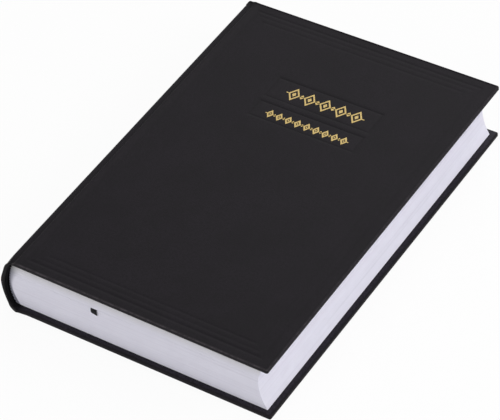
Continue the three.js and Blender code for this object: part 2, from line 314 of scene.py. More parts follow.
def swept(
    name: str, line: Array, up: Array, wall: float, across: Array | None = None,
    lift: Array | None = None, mirrored: bool = False,
) -> Piece:
    """Makes a thin sheet that follows a line in x and z and runs along y.

    Args:
        name: The piece's name.
        line: The line's points, as x and z.
        up: The places along y.
        wall: The sheet's thickness.
        across: Where each point of the line lies across the sheet, if not by its length.
        lift: What each point of the sheet is raised by.
        mirrored: Whether the sheet moves to the other cover.

    Returns:
        The piece, not yet dressed.
    """
    x, z = (np.repeat(part, len(up)) for part in line.T)
    y = np.tile(up, len(line))
    points = np.stack([x, y, z if lift is None else z + lift], 1)
    if mirrored:
        points = mirrored_height(points)
    places = lengths_along(line) if across is None else across
    uv = np.stack([np.repeat(places, len(up)), y], 1) * MM
    piece = make_piece(name, points, grid_faces(len(line), len(up)), uv, flip=mirrored)
    thicken(piece, wall, 0.0)
    smooth(piece)
    return piece


def dress(piece: Piece, material: Material, slot: str, *nodes: str) -> None:
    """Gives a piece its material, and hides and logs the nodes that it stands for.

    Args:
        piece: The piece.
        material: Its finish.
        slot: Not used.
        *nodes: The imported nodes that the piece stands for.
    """
    piece.data.materials.clear()
    piece.data.materials.append(material)
    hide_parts(*nodes)
    LOG.info("%s: %d faces, for %s", piece.name, len(piece.data.polygons), ", ".join(nodes))


def bend(piece: Piece, body: str, span: Pair, z: float) -> None:
    """Bakes a piece's transform into its mesh."""
    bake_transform(piece)


def spaced(start: float, end: float, step: float) -> list[float]:
    """Even places from start to end, about a step apart, both ends included."""
    count = max(1, round((end - start) / step))
    return [start + (end - start) * i / count for i in range(count + 1)]


def joined(*runs: Sequence[float]) -> Array:
    """Runs of places as one rising row, each place once."""
    return np.array(sorted({round(place, 4) for run in runs for place in run}))


def bell(distance: Array, spread: float) -> Array:
    """A rounded bump of height 1, by the distance from its middle."""
    return np.exp(-0.5 * (distance / spread) ** 2)


# Node trees


def reckoned(operation: str, swapped: bool = False) -> Callable[..., Wire]:
    """Makes a method that puts a wire through a Math node.

    Args:
        operation: What the node does.
        swapped: Whether the wire is its second value.

    Returns:
        The method.
    """

    def method(self: Wire, *others: object) -> Wire:
        """One Math node's result."""
        return self.graph.math(operation, *((*others, self) if swapped else (self, *others)))

    return method


class Wire:
    """What a socket gives, to be reckoned with: each sign is one Math node."""

    __add__ = __radd__ = reckoned("ADD")
    __sub__, __rsub__ = reckoned("SUBTRACT"), reckoned("SUBTRACT", swapped=True)
    __mul__ = __rmul__ = reckoned("MULTIPLY")
    __truediv__, __mod__, __pow__ = reckoned("DIVIDE"), reckoned("MODULO"), reckoned("POWER")
    __lt__, __gt__ = reckoned("LESS_THAN"), reckoned("GREATER_THAN")
    __abs__ = reckoned("ABSOLUTE")
    most, least = reckoned("MAXIMUM"), reckoned("MINIMUM")
    root, floor, nearest = reckoned("SQRT"), reckoned("FLOOR"), reckoned("ROUND")
    sine, cosine = reckoned("SINE"), reckoned("COSINE")

    def __init__(self, graph: Graph, socket: Socket) -> None:
        """Keeps the graph and the socket."""
        self.graph = graph
        self.socket = socket


class Graph:
    """Adds nodes to a tree and joins them, one call for each node."""

    def __init__(self, tree: NodeTree) -> None:
        """Keeps the tree."""
        self.tree = tree

    def add(
        self, kind: str, inputs: dict[str | int, object] | None = None, **settings: object
    ) -> bpy.types.Node:
        """Adds a node.

        Args:
            kind: The node's type.
            inputs: A value, or the wire that feeds it, for each input by name or number.
            **settings: The node's own settings.

        Returns:
            The node.
        """
        node = self.tree.nodes.new(kind)
        for setting, value in settings.items():
            setattr(node, setting, value)
        for key, value in (inputs or {}).items():
            self.feed(node.inputs[key], value)
        return node

    def get(
        self, kind: str, inputs: dict[str | int, object] | None = None, output: str | int = 0,
        **settings: object,
    ) -> Wire:
        """Adds a node for one of its outputs, and takes the same arguments as add."""
        return Wire(self, self.add(kind, inputs, **settings).outputs[output])

    def feed(self, socket: Socket, value: object) -> None:
        """Joins a wire to an input, or sets the input's value.

        Args:
            socket: The input.
            value: The wire or the value.
        """
        if isinstance(value, Wire):
            self.tree.links.new(value.socket, socket)
        else:
            socket.default_value = value

    def math(self, operation: str, *values: object, clamp: bool = False) -> Wire:
        """One Math node's result."""
        inputs = dict(enumerate(values))
        return self.get("ShaderNodeMath", inputs, operation=operation, use_clamp=clamp)

    def split(self, vector: Wire) -> tuple[Wire, ...]:
        """The three parts of a vector."""
        outputs = self.add("ShaderNodeSeparateXYZ", {0: vector}).outputs
        return tuple(Wire(self, part) for part in outputs)

    def vector(self, *parts: object) -> Wire:
        """A vector of three parts."""
        return self.get("ShaderNodeCombineXYZ", dict(enumerate(parts)))

    def ramp(self, value: Wire, low: float, high: float) -> Wire:
        """A value that goes smoothly from 0 at low to 1 at high."""
        inputs = {0: value, 1: low, 2: high}
        return self.get("ShaderNodeMapRange", inputs, interpolation_type="SMOOTHSTEP")

    def noise(
        self, place: Wire, scale: object, detail: float, rough: float = 0.5, **settings: object
    ) -> Wire:
        """A Noise Texture's value."""
        inputs = {"Vector": place, "Scale": scale, "Detail": detail, "Roughness": rough}
        return self.get("ShaderNodeTexNoise", inputs, "Fac", **settings)

    def blend(self, factor: object, first: object, second: object) -> Wire:
        """Mixes two colours.

        Args:
            factor: 0 for the first, 1 for the second.
            first: A colour or a wire.
            second: A colour or a wire.

        Returns:
            The colour between them.
        """
        node = self.add("ShaderNodeMix", {0: factor}, data_type="RGBA")
        for socket, value in ((node.inputs[6], first), (node.inputs[7], second)):
            self.feed(socket, value if isinstance(value, Wire) else (*value, 1.0))
        return Wire(self, node.outputs[2])


class Tree(Graph):
    """A node group with named inputs and outputs."""

    def __init__(
        self, name: str, kind: str, inputs: dict[str, object], outputs: Sequence[str] = ()
    ) -> None:
        """Makes the group.

        Args:
            name: The group's name.
            kind: Geometry or shader tree.
            inputs: For each input a number, its plain value, or words, its socket type. A
                geometry tree has a Geometry and a Material besides.
            outputs: Names of a shader group's outputs, which are all numbers.
        """
        super().__init__(bpy.data.node_groups.new(name, kind))
        if kind == GEOMETRY:
            inputs = {"Geometry": "Geometry", **inputs, "Material": "Material"}
            self._open("OUTPUT", "Geometry", "Geometry")
        for label, value in inputs.items():
            self._open("INPUT", label, value)
        for label in outputs:
            self._open("OUTPUT", label, 0.0)
        node = self.add("NodeGroupInput")
        self.given = {label: Wire(self, node.outputs[label]) for label in inputs}
        self.result = self.add("NodeGroupOutput")

    def _open(self, direction: str, label: str, value: object) -> None:
        """Adds a named socket.

        Args:
            direction: INPUT or OUTPUT.
            label: The socket's name.
            value: Its plain value, or its type.
        """
        kind = value if isinstance(value, str) else type(value).__name__.capitalize()
        socket = self.tree.interface.new_socket(
            name=label, in_out=direction, socket_type=f"NodeSocket{kind}"
        )
        if not isinstance(value, str):
            socket.default_value = value

    def gives(self, *results: Wire) -> NodeTree:
        """Feeds a shader group's outputs in order.

        Args:
            *results: One wire for each output.

        Returns:
            The tree.
        """
        for number, wire in enumerate(results):
            self.feed(self.result.inputs[number], wire)
        return self.tree

    def gives_mesh(self, geometry: Wire) -> NodeTree:
        """Ends a geometry tree in Realize Instances and Set Material.

        Args:
            geometry: What it has made.

        Returns:
            The tree.
        """
        real = self.get("GeometryNodeRealizeInstances", {0: geometry})
        inputs = {"Geometry": real, "Material": self.given["Material"]}
        return self.gives(self.get("GeometryNodeSetMaterial", inputs))

    def numbers(self, geometry: Wire, name: str, value: Wire) -> Wire:
        """Keeps a number on each point, by name."""
        inputs = {"Geometry": geometry, "Name": name, "Value": value}
        return self.get(
            "GeometryNodeStoreNamedAttribute", inputs, data_type="FLOAT", domain="POINT"
        )

    def number(self, name: str) -> Wire:
        """A number kept on the points."""
        inputs = {"Name": name}
        return self.get("GeometryNodeInputNamedAttribute", inputs, "Attribute", data_type="FLOAT")

    def copies(self, points: Wire, figure: Wire) -> Wire:
        """A figure on each point, as real geometry."""
        inputs = {"Points": points, "Instance": figure}
        placed = self.get("GeometryNodeInstanceOnPoints", inputs)
        return self.get("GeometryNodeRealizeInstances", {0: placed})

    def tube(self, curve: Wire, radius: Wire, sides: int) -> Wire:
        """A closed tube round a curve."""
        ring = self.get(
            "GeometryNodeCurvePrimitiveCircle", {"Resolution": sides, "Radius": radius}
        )
        return self.get(
            "GeometryNodeCurveToMesh", {"Curve": curve, "Profile Curve": ring, "Fill Caps": True}
        )

    def random(self, low: float, high: float, number: Wire) -> Wire:
        """A random value for each number, by the tree's Seed."""
        inputs = {2: low, 3: high, "ID": number, "Seed": self.given["Seed"]}
        return self.get("FunctionNodeRandomValue", inputs, 1, data_type="FLOAT")


def run_tree(piece: Piece, tree: NodeTree, values: dict[str, object]) -> None:
    """Runs a Geometry Nodes tree on a piece and keeps the result as its plain mesh.

    Args:
        piece: The piece that the tree starts from.
        tree: The tree.
        values: The tree's inputs by name.
    """
    modifier = piece.modifiers.new("repeat", "NODES")
    modifier.node_group = tree
    known = {
        item.name: item.identifier
        for item in tree.interface.items_tree
        if item.item_type == "SOCKET" and item.in_out == "INPUT"
    }
    for label, value in values.items():
        modifier[known[label]] = value
    bake_modifiers(piece)


# Shared shader groups


class Effects:
    """The shader groups that several finishes use, each built once."""

    @staticmethod
    def _group(name: str, inputs: dict[str, object], *outputs: str) -> Tree:
        """A shader group with a vector as its first input."""
        return Tree(name, SHADER, {"Vector": "Vector", **inputs}, outputs)

    @cached_property
    def pebble(self) -> NodeTree:
        """Small rounded cells with creases between them, as pressed into leatherette."""
        group = self._group(
            "Pebble Grain", {"Cells per Metre": 1900.0, "Crease": 0.5}, "Height", "Crease Mask"
        )
        place, flat = group.given["Vector"], {"noise_dimensions": "2D"}
        warp = group.get(
            "ShaderNodeTexNoise", {"Vector": place, "Scale": 900.0, "Detail": 2.0}, "Color", **flat
        )
        shift = {0: 0.0006, 4: place, 5: warp}
        moved = group.get("ShaderNodeMix", shift, 1, data_type="VECTOR")
        cells = {"Vector": moved, "Scale": group.given["Cells per Metre"], "Randomness": 0.9}
        kinds = {"voronoi_dimensions": "2D", "feature": "SMOOTH_F1"}
        distance = group.get("ShaderNodeTexVoronoi", cells, "Distance", **kinds)
        height = group.noise(place, 5200.0, 3.0, **flat) * 0.25 + (1.0 - distance)
        return group.gives(height, group.ramp(distance, 0.35, 0.75) * group.given["Crease"])

    @cached_property
    def wear(self) -> NodeTree:
        """Rubbing and painted highlights, where the edge mask meets an uneven noise."""
        group = self._group("Rubbed Edges", {"Edge": 0.0, "Amount": 0.5}, "Mask")
        uneven = group.ramp(group.noise(group.given["Vector"], 260.0, 5.0, 0.65), 0.35, 0.7)
        worn_and_lit = group.given["Edge"] * (uneven * 0.7 + 0.3)
        return group.gives(group.math("MULTIPLY", worn_and_lit, group.given["Amount"], clamp=True))

    @cached_property
    def fibre(self) -> NodeTree:
        """The cloudy formation and short fibres of uncoated paper or board."""
        group = self._group("Paper Fibre", {"Fibres per Metre": 2500.0}, "Cloud", "Height")
        place = group.given["Vector"]
        inputs = {"Vector": place, "Scale": (1.0, 0.35, 1.0)}
        stretched = group.get("ShaderNodeMapping", inputs)
        fibres = {"Vector": stretched, "Scale": group.given["Fibres per Metre"]}
        fibres |= {"Detail": 6.0, "Distortion": 0.6}
        height = group.get("ShaderNodeTexNoise", fibres, "Fac")
        return group.gives(group.noise(place, 120.0, 4.0, 0.6), height)

    @cached_property
    def weave(self) -> NodeTree:
        """Threads that cross over and under each other."""
        group = self._group("Plain Weave", {"Threads per Metre": 1600.0}, "Height", "Gap Mask")
        inputs = {0: group.given["Vector"], "Scale": group.given["Threads per Metre"]}
        u, v, _ = group.split(group.get("ShaderNodeVectorMath", inputs, operation="SCALE"))
        over = abs(u.floor() + v.floor()) % 2.0
        warp = abs((u * math.pi).sine()) * (over * 0.6 + 0.4)
        weft = abs((v * math.pi).sine()) * ((1.0 - over) * 0.6 + 0.4)
        height = warp.most(weft)
        return group.gives(height, 1.0 - group.ramp(height, 0.1, 0.55))

    @cached_property
    def ruling(self) -> NodeTree:
        """The faint rows and red columns of an account page.

        The vector is metres across the leaf from its gutter, and metres up from its middle.
        """
        columns = (0.022, 0.0228, 0.036, 0.098, 0.1165, 0.1173, 0.137, 0.1378, 0.151)
        heads, top_row = (0.0965, 0.0973, 0.108), 0.0961
        left, right, top, row_start = 0.008, 0.157, 0.117, 0.4
        sizes = {"Row Pitch": 0.008, "Line": 0.0003}
        group = self._group("Account Ruling", sizes, "Rows", "Columns")
        across, up, _ = group.split(group.given["Vector"])
        line = group.given["Line"]
        inside = (across > left) * (across < right) * (abs(up) < top)
        rows = ((up + row_start) % group.given["Row Pitch"] < line) * (up < top_row)
        hits = [abs(across - place) < line * 0.5 for place in columns]
        hits += [abs(up - height) < line * 0.5 for height in heads]
        lines = hits[0]
        for hit in hits[1:]:
            lines = lines.most(hit)
        return group.gives(rows * inside, lines * inside)


# Finishes


def tinted(colour: Colour, factor: float) -> Colour:
    """A colour made darker or lighter."""
    return tuple(factor * part for part in colour)


class Surface:
    """The node material that a finish fills in."""

    def __init__(self, name: str, specular: float = 0.5) -> None:
        """Makes the material with its Principled shader.

        Args:
            name: The material's name.
            specular: The specular level, set on the shader's own socket.
        """
        self.material = bpy.data.materials.new(name)
        self.material.use_nodes = True
        self.graph = Graph(self.material.node_tree)
        self.shader = self.material.node_tree.nodes["Principled BSDF"]
        self.shader.inputs["Specular IOR Level"].default_value = specular

    def place(self, uv: bool) -> Wire:
        """The piece's own surface coordinates, or its object coordinates."""
        if uv:
            return self.graph.get("ShaderNodeUVMap", uv_map=SURFACE_UV)
        return self.graph.get("ShaderNodeTexCoord", output="Object")

    def attribute(self, name: str) -> Wire:
        """A number kept on the piece's points."""
        return self.graph.get("ShaderNodeAttribute", None, "Fac", attribute_name=name)

    def group(
        self, tree: NodeTree, place: Wire, inputs: dict[str, object] | None = None
    ) -> tuple[Wire, ...]:
        """Places a shared group.

        Args:
            tree: The group.
            place: Its vector.
            inputs: Its other inputs.

        Returns:
            What it gives.
        """
        node = self.graph.add("ShaderNodeGroup", node_tree=tree)
        for key, value in {"Vector": place, **(inputs or {})}.items():
            self.graph.feed(node.inputs[key], value)
        return tuple(Wire(self.graph, output) for output in node.outputs)

    def finish(
        self, colour: Wire, rough: Wire, height: Wire, depth: float, strength: float
    ) -> Material:
        """Feeds the shader.

        Args:
            colour: The base colour.
            rough: The roughness.
            height: The height that makes the normal.
            depth: The height's depth.
            strength: How much it shows.

        Returns:
            The material.
        """
        inputs = {"Height": height, "Distance": depth, "Strength": strength}
        normal = self.graph.get("ShaderNodeBump", inputs)
        wires = {"Base Color": colour, "Roughness": rough, "Normal": normal}
        for label, wire in wires.items():
            self.graph.feed(self.shader.inputs[label], wire)
        return self.material


@dataclass(frozen=True)
class Leatherette:
    """Black pebbled cover cloth, paler along its edges from rubbing and painted highlights."""

    colour: Colour = (0.0087, 0.0071, 0.0097)
    # Colour of the grain's creases and of the painted shade in grooves and at the spine's ends.
    crease: Colour = (0.0046, 0.004, 0.005)
    # Colour of rubbing and of the painted highlights along the edges.
    rubbed: Colour = (0.088, 0.077, 0.085)
    # Colour of the turn-ins: painted bounce light from the pages, paler and bluer than the cloth.
    turned: Colour = (0.0275, 0.0245, 0.0325)
    roughness: float = 0.52
    specular: float = 0.08
    cell: float = 0.00055
    crease_depth: float = 0.6
    wear: float = 0.8
    cloud_scale: float = 25.0
    pit_scale: float = 620.0
    pit_depth: float = 0.45
    depth: float = 0.00006

    def build(self, effects: Effects) -> Material:
        """Makes the material.

        Args:
            effects: The shared groups.

        Returns:
            The material.
        """
        surface = Surface("leatherette", self.specular)
        graph, place = surface.graph, surface.place(uv=True)
        cells = {"Cells per Metre": 1 / self.cell, "Crease": self.crease_depth}
        height, creases = surface.group(effects.pebble, place, cells)
        edge = {"Edge": surface.attribute("edge"), "Amount": self.wear}
        (worn_and_lit,) = surface.group(effects.wear, place, edge)
        cloud = graph.noise(place, self.cloud_scale, 6.0, 0.76)
        dull, bright = tinted(self.colour, 0.8), tinted(self.colour, 1.24)
        shade = graph.blend(graph.ramp(cloud, 0.32, 0.68), dull, bright)
        # Painted bounce light: the turn-ins, which lie in shade, are paler and bluer.
        shade = graph.blend(surface.attribute("inner"), shade, self.turned)
        # Painted shade in the joint's groove, the pressed lines, the panel borders and the spine's
        # ends.
        pressed = surface.attribute("fold") * 0.6
        pits = graph.ramp(graph.noise(place, self.pit_scale, 2.0), 0.45, 0.62) * self.pit_depth
        dark = creases.most(pressed).most(pits)
        # Painted shade darkens the creases, and rubbing with painted highlights pales the edges.
        shade = graph.blend(worn_and_lit, graph.blend(dark, shade, self.crease), self.rubbed)
        rough = worn_and_lit * 0.1 + (cloud * 0.12 + (self.roughness - 0.06))
        return surface.finish(shade, rough, height, self.depth, 0.8)


@dataclass(frozen=True)
class Paper:
    """Uncoated paper, plain or ruled for accounts; without its own UV, it is the block's."""

    name: str
    colour: Colour
    shadow: Colour
    uv: bool = True
    ruled: bool = False
    # The colour and reach of the painted shade on the leaves' ends beside the spine, widest near
    # the top.
    glued: Colour = (0.2, 0.2, 0.25)
    glue_from: float = 0.01
    glue_reach: Pair = (0.0009, 0.0075)
    glue_growth: float = 20.0
    # The colour and depth of the painted shadow that the front cover's overhang casts on the
    # leaves' ends.
    covered: Colour = (0.41, 0.4, 0.27)
    covered_depth: float = 0.0105
    faint: Colour = (0.42, 0.52, 0.78)
    red: Colour = (0.72, 0.2, 0.22)
    band_scale: tuple[float, float, float] = (7.0, 7.0, 1100.0)

    def build(self, effects: Effects) -> Material:
        """Makes the material.

        Args:
            effects: The shared groups.

        Returns:
            The material.
        """
        surface = Surface(self.name, 0.25)
        graph, place = surface.graph, surface.place(self.uv)
        cloud, height = surface.group(effects.fibre, place)
        shade = graph.blend(graph.ramp(cloud, 0.3, 0.75) * 0.3, self.colour, self.shadow)
        if not self.uv:
            inputs = {"Vector": place, "Scale": self.band_scale}
            banded = graph.noise(graph.get("ShaderNodeMapping", inputs), 1.0, 5.0)
            tone = surface.attribute("leaf_tone") * 0.3 + graph.ramp(banded, 0.45, 0.75)
            shade = graph.blend(tone * 0.75, shade, self.shadow)
            # Painted shade on the leaves' ends beside the spine.
            shade = graph.blend(self._near_spine(place), shade, self.glued)
            # Painted shadow under the front cover's overhang.
            shade = graph.blend(self._near_cover(place), shade, self.covered)
        if self.ruled:
            shade = self._print_lines(surface, effects, place, shade)
        return surface.finish(shade, height * 0.12 + 0.8, height, 0.00002, 0.5)

    def _near_spine(self, place: Wire) -> Wire:
        """How much painted shade darkens the leaves' ends beside the spine.

        Args:
            place: The place on the block.

        Returns:
            1 at the spine, and 0 away from it.
        """
        x, _, z = place.graph.split(place)
        from_centre = x - (BOOK.arc_centre_x - SPINE_TO_ORIGIN) * MM
        above = z - BOOK.middle * MM
        radius = (from_centre**2.0 + above**2.0).root()
        inside = (BOOK.block_radius + 0.9) * MM - radius
        raised = (z - self.glue_from).most(0.0)
        reach = (raised**2.0 * self.glue_growth + self.glue_reach[0]).least(self.glue_reach[1])
        away = place.graph.ramp(inside / reach, 0.0, 1.0)
        return (1.0 - away) * (from_centre < 0.0)

    def _near_cover(self, place: Wire) -> Wire:
        """How much painted shadow the front cover's overhang casts on the leaves' ends.

        Args:
            place: The place on the block.

        Returns:
            Most at the top of the head and the tail, and 0 elsewhere.
        """
        _, y, z = place.graph.split(place)
        at_end = abs(y) > BOOK.half_leaf * MM - 0.0009
        below = BOOK.block_top * MM - self.covered_depth
        near = ((z - below) / self.covered_depth).most(0.0) ** 1.3
        return near * 0.5 * at_end

    def _print_lines(self, surface: Surface, effects: Effects, place: Wire, shade: Wire) -> Wire:
        """Prints the account ruling.

        Args:
            surface: The material being made.
            effects: The shared groups.
            place: The place on the leaf or the block.
            shade: The paper's colour.

        Returns:
            The colour with the lines.
        """
        graph = surface.graph
        if not self.uv:
            gutter = (SPINE_TO_ORIGIN - BOOK.leaf_hinge_x) * MM
            inputs = {"Vector": place, "Location": (gutter, 0, 0)}
            place = graph.get("ShaderNodeMapping", inputs)
        rows, columns = surface.group(effects.ruling, place)
        return graph.blend(columns * 0.8, graph.blend(rows * 0.7, shade, self.faint), self.red)


@dataclass(frozen=True)
class Cloth:
    """Woven cotton, silk or satin."""

    name: str
    colour: Colour
    gap: Colour
    roughness: float
    threads: float
    depth: float = 0.00005
    specular: float = 0.3
    sheen: float = 0.0
    uv: bool = True

    def build(self, effects: Effects) -> Material:
        """Makes the material.

        Args:
            effects: The shared groups.

        Returns:
            The material.
        """
        surface = Surface(self.name, self.specular)
        surface.shader.inputs["Sheen Weight"].default_value = self.sheen
        graph, place = surface.graph, surface.place(self.uv)
        height, gaps = surface.group(effects.weave, place, {"Threads per Metre": self.threads})
        noise = graph.noise(place, 700.0, 4.0)
        thread = graph.blend(noise, tinted(self.colour, 0.82), self.colour)
        rough = noise * 0.14 + (self.roughness - 0.07)
        return surface.finish(graph.blend(gaps, thread, self.gap), rough, height, self.depth, 0.8)


@dataclass(frozen=True)
class Board:
    """Grey or brown pulp board with flecks."""

    name: str
    colour: Colour
    fleck: Colour

    def build(self, effects: Effects) -> Material:
        """Makes the material.

        Args:
            effects: The shared groups.

        Returns:
            The material.
        """
        surface = Surface(self.name, 0.2)
        graph, place = surface.graph, surface.place(uv=False)
        cloud, height = surface.group(effects.fibre, place, {"Fibres per Metre": 1400.0})
        flecks = graph.ramp(graph.noise(place, 2300.0, 2.0), 0.62, 0.72)
        pulp = graph.blend(cloud, tinted(self.colour, 0.86), self.colour)
        shade = graph.blend(flecks, pulp, self.fleck)
        return surface.finish(shade, height * 0.1 + 0.85, height, 0.00004, 0.7)


@dataclass(frozen=True)
class GoldFoil:
    """Hot-stamped foil, with the cloth's grain showing through."""

    colour: Colour = (0.42, 0.315, 0.125)
    dull: Colour = (0.3, 0.215, 0.08)
    metallic: float = 0.85

    def build(self, effects: Effects) -> Material:
        """Makes the material.

        Args:
            effects: The shared groups.

        Returns:
            The material.
        """
        surface = Surface("gold_foil")
        surface.shader.inputs["Metallic"].default_value = self.metallic
        graph, place = surface.graph, surface.place(uv=False)
        height, creases = surface.group(effects.pebble, place, {"Crease": 0.5})
        noise = graph.noise(place, 1500.0, 4.0)
        shade = graph.blend(creases.most(graph.ramp(noise, 0.4, 0.75)), self.colour, self.dull)
        return surface.finish(shade, noise * 0.2 + 0.4, height, 0.00003, 0.6)


@dataclass
class Palette:
    """All finishes of the book, made once."""

    effects: Effects

    def __post_init__(self) -> None:
        """Builds each material."""
        white, grey = (0.812, 0.802, 0.892), (0.735, 0.72, 0.812)
        cream, dim = (0.83, 0.82, 0.79), (0.76, 0.745, 0.71)
        raw, raw_gap = (0.8, 0.75, 0.64), (0.42, 0.37, 0.29)
        waxed, waxed_gap = (0.82, 0.78, 0.68), (0.5, 0.45, 0.36)
        black, gap = (0.006, 0.0055, 0.007), (0.003, 0.003, 0.004)
        satin = {"depth": 0.00003, "specular": 0.08}
        woven = {"specular": 0.08}
        finishes = {
            "leatherette": Leatherette(),
            "block": Paper("pages", white, grey, uv=False),
            "ruled_block": Paper("pages_ruled", white, grey, uv=False, ruled=True),
            "ruled_leaf": Paper("pages_leaf", white, grey, ruled=True),
            "endpaper": Paper("endpaper", cream, dim),
            "board": Board("board", (0.26, 0.22, 0.17), (0.12, 0.1, 0.08)),
            "card": Board("card", (0.39, 0.32, 0.23), (0.2, 0.15, 0.1)),
            "cotton": Cloth("cotton", raw, raw_gap, 0.9, 1500.0, sheen=0.2),
            "thread": Cloth("thread", waxed, waxed_gap, 0.8, 2600.0, uv=False),
            "band": Cloth("band", black, gap, 0.6, 3000.0, **woven),
            "coil": Cloth("band_thread", black, gap, 0.55, 5200.0, uv=False, **woven),
            "ribbon": Cloth("ribbon", black, gap, 0.5, 4200.0, **satin),
            "gold": GoldFoil(),
        }
        self.made = {label: finish.build(self.effects) for label, finish in finishes.items()}

    def __getitem__(self, label: str) -> Material:
        """A finish's material by its name."""
        return self.made[label]


# The case: cloth wrapped round boards and spine

# How far inside a title panel's border the mesh has points.
BORDER_STEPS = (-0.9, -0.35, -0.1, 0.15, 0.45, 0.9, 1.9)


@dataclass(frozen=True)
class PressedLine:
    """One line of the frame that is pressed into a cover, at a distance from each edge."""

    distance: float
    depth: float
    spread: float


@dataclass
class CaseCloth:
    """Half of the case's cloth: from the spine's middle over one cover, turned in all round.

    A pair of sizes is for the front cover and the back cover. Both halves are worked out as the
    front one, and the back one is mirrored at the end.
    """

    palette: Palette
    side: Side
    cloth: float = 0.35
    board_gap: float = 0.38
    board_step: float = 15.0
    corner_radius: float = 0.75
    edge_radius: float = 0.5
    inner_radius: float = 0.25
    spine_inside: float = 1.25
    spine_turn_in: float = 11.5
    arc_end_z: float = 35.2
    arc_steps: int = 24
    flat_x: float = 12.0
    board_from: float = 10.8
    border: float = 17.5
    panel_left: float = 59.7
    panel_right: float = 129.9
    panel_depth: float = 0.1
    panel_line: float = 0.17
    panel_slope: float = 0.6
    panels_from_head: tuple[Pair, ...] = ((51.5, 68.7), (73.3, 86.7))
    wave_depth: float = 0.02
    bend_span: Pair = (3.6, 7.6)
    overreach: Pair = (1.2, 0.0)
    tail_reach: Pair = (0.0, 0.75)
    taper: Pair = (0.0072, 0.0)
    taper_x: float = 107.0
    pinch: Pair = (1.2, 0.0)
    pinch_reach: float = 9.0
    pinch_x: float = 5.1
    pinch_spread: float = 2.7
    swell: Pair = (1.3, 0.0)
    swell_reach: float = 5.0
    swell_x: float = 8.4
    swell_spread: float = 1.5
    sag: Pair = (0.0, 1.3)
    sag_x: float = 7.0
    sag_spread: float = 2.4
    squeezed: float = 60.0
    spine_step: float = 1.2
    joint_step: float = 0.28
    border_step: float = 0.38
    flat_steps: Pair = (3.2, 3.4)
    spine_shade: float = 1.6
    turn_in_shares: tuple[float, ...] = (0.06, 0.3, 0.65, 1.0)
    lines: tuple[PressedLine, ...] = (
        PressedLine(6.3, 0.19, 0.65),
        PressedLine(9.9, 0.09, 0.6),
        PressedLine(13.9, 0.12, 0.6),
    )

    @property
    def is_back(self) -> bool:
        """Whether this half goes to the back cover."""
        return self.side is Side.BACK

    @property
    def fore_edge(self) -> float:
        """Drawing x of the cover's fore edge."""
        return BOOK.width + self.overreach[self.is_back]

    @property
    def panels(self) -> tuple[Pair, ...]:
        """The title panels on this cover."""
        return () if self.is_back else self.panels_from_head

    def joint_keys(self) -> list[tuple[float, float, float, float]]:
        """Outer x, z and inner x, z of the cloth beside the board, from spine to flat cover."""
        top, inner = BOOK.thickness, BOOK.inner_top
        if self.is_back:
            ox = (1.05, 1.8, 2.9, 4.2, 5.6, 6.8, 7.7, 8.5, 9.3)
            oz = (36.9, 38.2, 38.95, 39.16, 39.08, 38.75, 38.5, 38.5, 38.75)
            ix = (2.9, 3.4, 4.2, 5.2, 6.4, 7.3, 7.85, 8.55, 9.25)
            iz = (35.9, 36.35, 36.6, 36.8, 36.95, 37.0, 37.0, 37.05, inner)
        else:
            ox = (4.25, 4.95, 5.6, 6.25, 6.95, 7.7, 8.5, 9.3)
            oz = (36.5, 37.5, 38.2, 38.4, 38.1, 37.8, 37.9, 38.35)
            ix = (5.75, 6.0, 6.35, 6.75, 7.25, 7.85, 8.55, 9.25)
            iz = (36.05, 36.3, 36.5, 36.75, 36.95, 37.0, 37.05, inner)
        flat = [(9.9, 39.0, 9.85, inner), (10.6, 39.16, 10.55, inner), (11.6, top, 11.6, inner)]
        return [*zip(ox, oz, ix, iz), *flat]

    def profile(self) -> None:
        """Works out the cloth's outer and inner lines from the spine's middle to past the edge."""
        last = math.asin((self.arc_end_z - BOOK.middle) / BOOK.arc_centre_x)
        upwards = -1 if self.is_back else 1
        keys: list[tuple[float, ...]] = []
        for angle in np.linspace(0.0, last, self.arc_steps):
            row: tuple[float, ...] = ()
            for outside in (BOOK.spine_wall, self.spine_inside):
                rise = (BOOK.block_radius + outside) * math.sin(angle)
                x = BOOK.spine_x(BOOK.middle + upwards * rise, outside)
                row += (x, BOOK.middle + rise)
            keys.append(row)
        beyond = self.fore_edge + 3
        keys += [*self.joint_keys(), (beyond, BOOK.thickness, beyond, BOOK.inner_top)]
        rows = np.array(keys)
        lengths = lengths_along(rows[:, :2])
        self.dense = np.arange(0.0, lengths[-1], 0.05)
        self.path = [self._rounded(np.interp(self.dense, lengths, line)) for line in rows.T]
        self.flat_from, self.shoulder, self.joint, self.overhang = (
            float(np.interp(x, self.path[0], self.dense))
            for x in (self.flat_x, self.pinch_x, self.swell_x, self.sag_x)
        )

    @staticmethod
    def _rounded(line: Array, spread: int = 7) -> Array:
        """A line with its corners rounded."""
        reach = spread * 4
        weights = bell(np.arange(-reach, reach + 1), spread)
        before = 2 * line[0] - line[reach:0:-1]
        after = 2 * line[-1] - line[-2 : -reach - 2 : -1]
        padded = np.concatenate([before, line, after])
        return np.convolve(padded, weights / weights.sum(), mode="valid")

    def at(self, lengths: Array) -> tuple[Array, Array, Array]:
        """The profile at distances along the cloth.

        Args:
            lengths: Distances from the middle of the spine.

        Returns:
            Outer points, unit directions towards the inside, and the case's thickness.
        """
        ox, oz, ix, iz = (np.interp(lengths, self.dense, line) for line in self.path)
        across = np.stack([ix - ox, iz - oz], 1)
        thickness = np.hypot(*across.T)
        return np.stack([ox, oz], 1), across / thickness[:, None], thickness

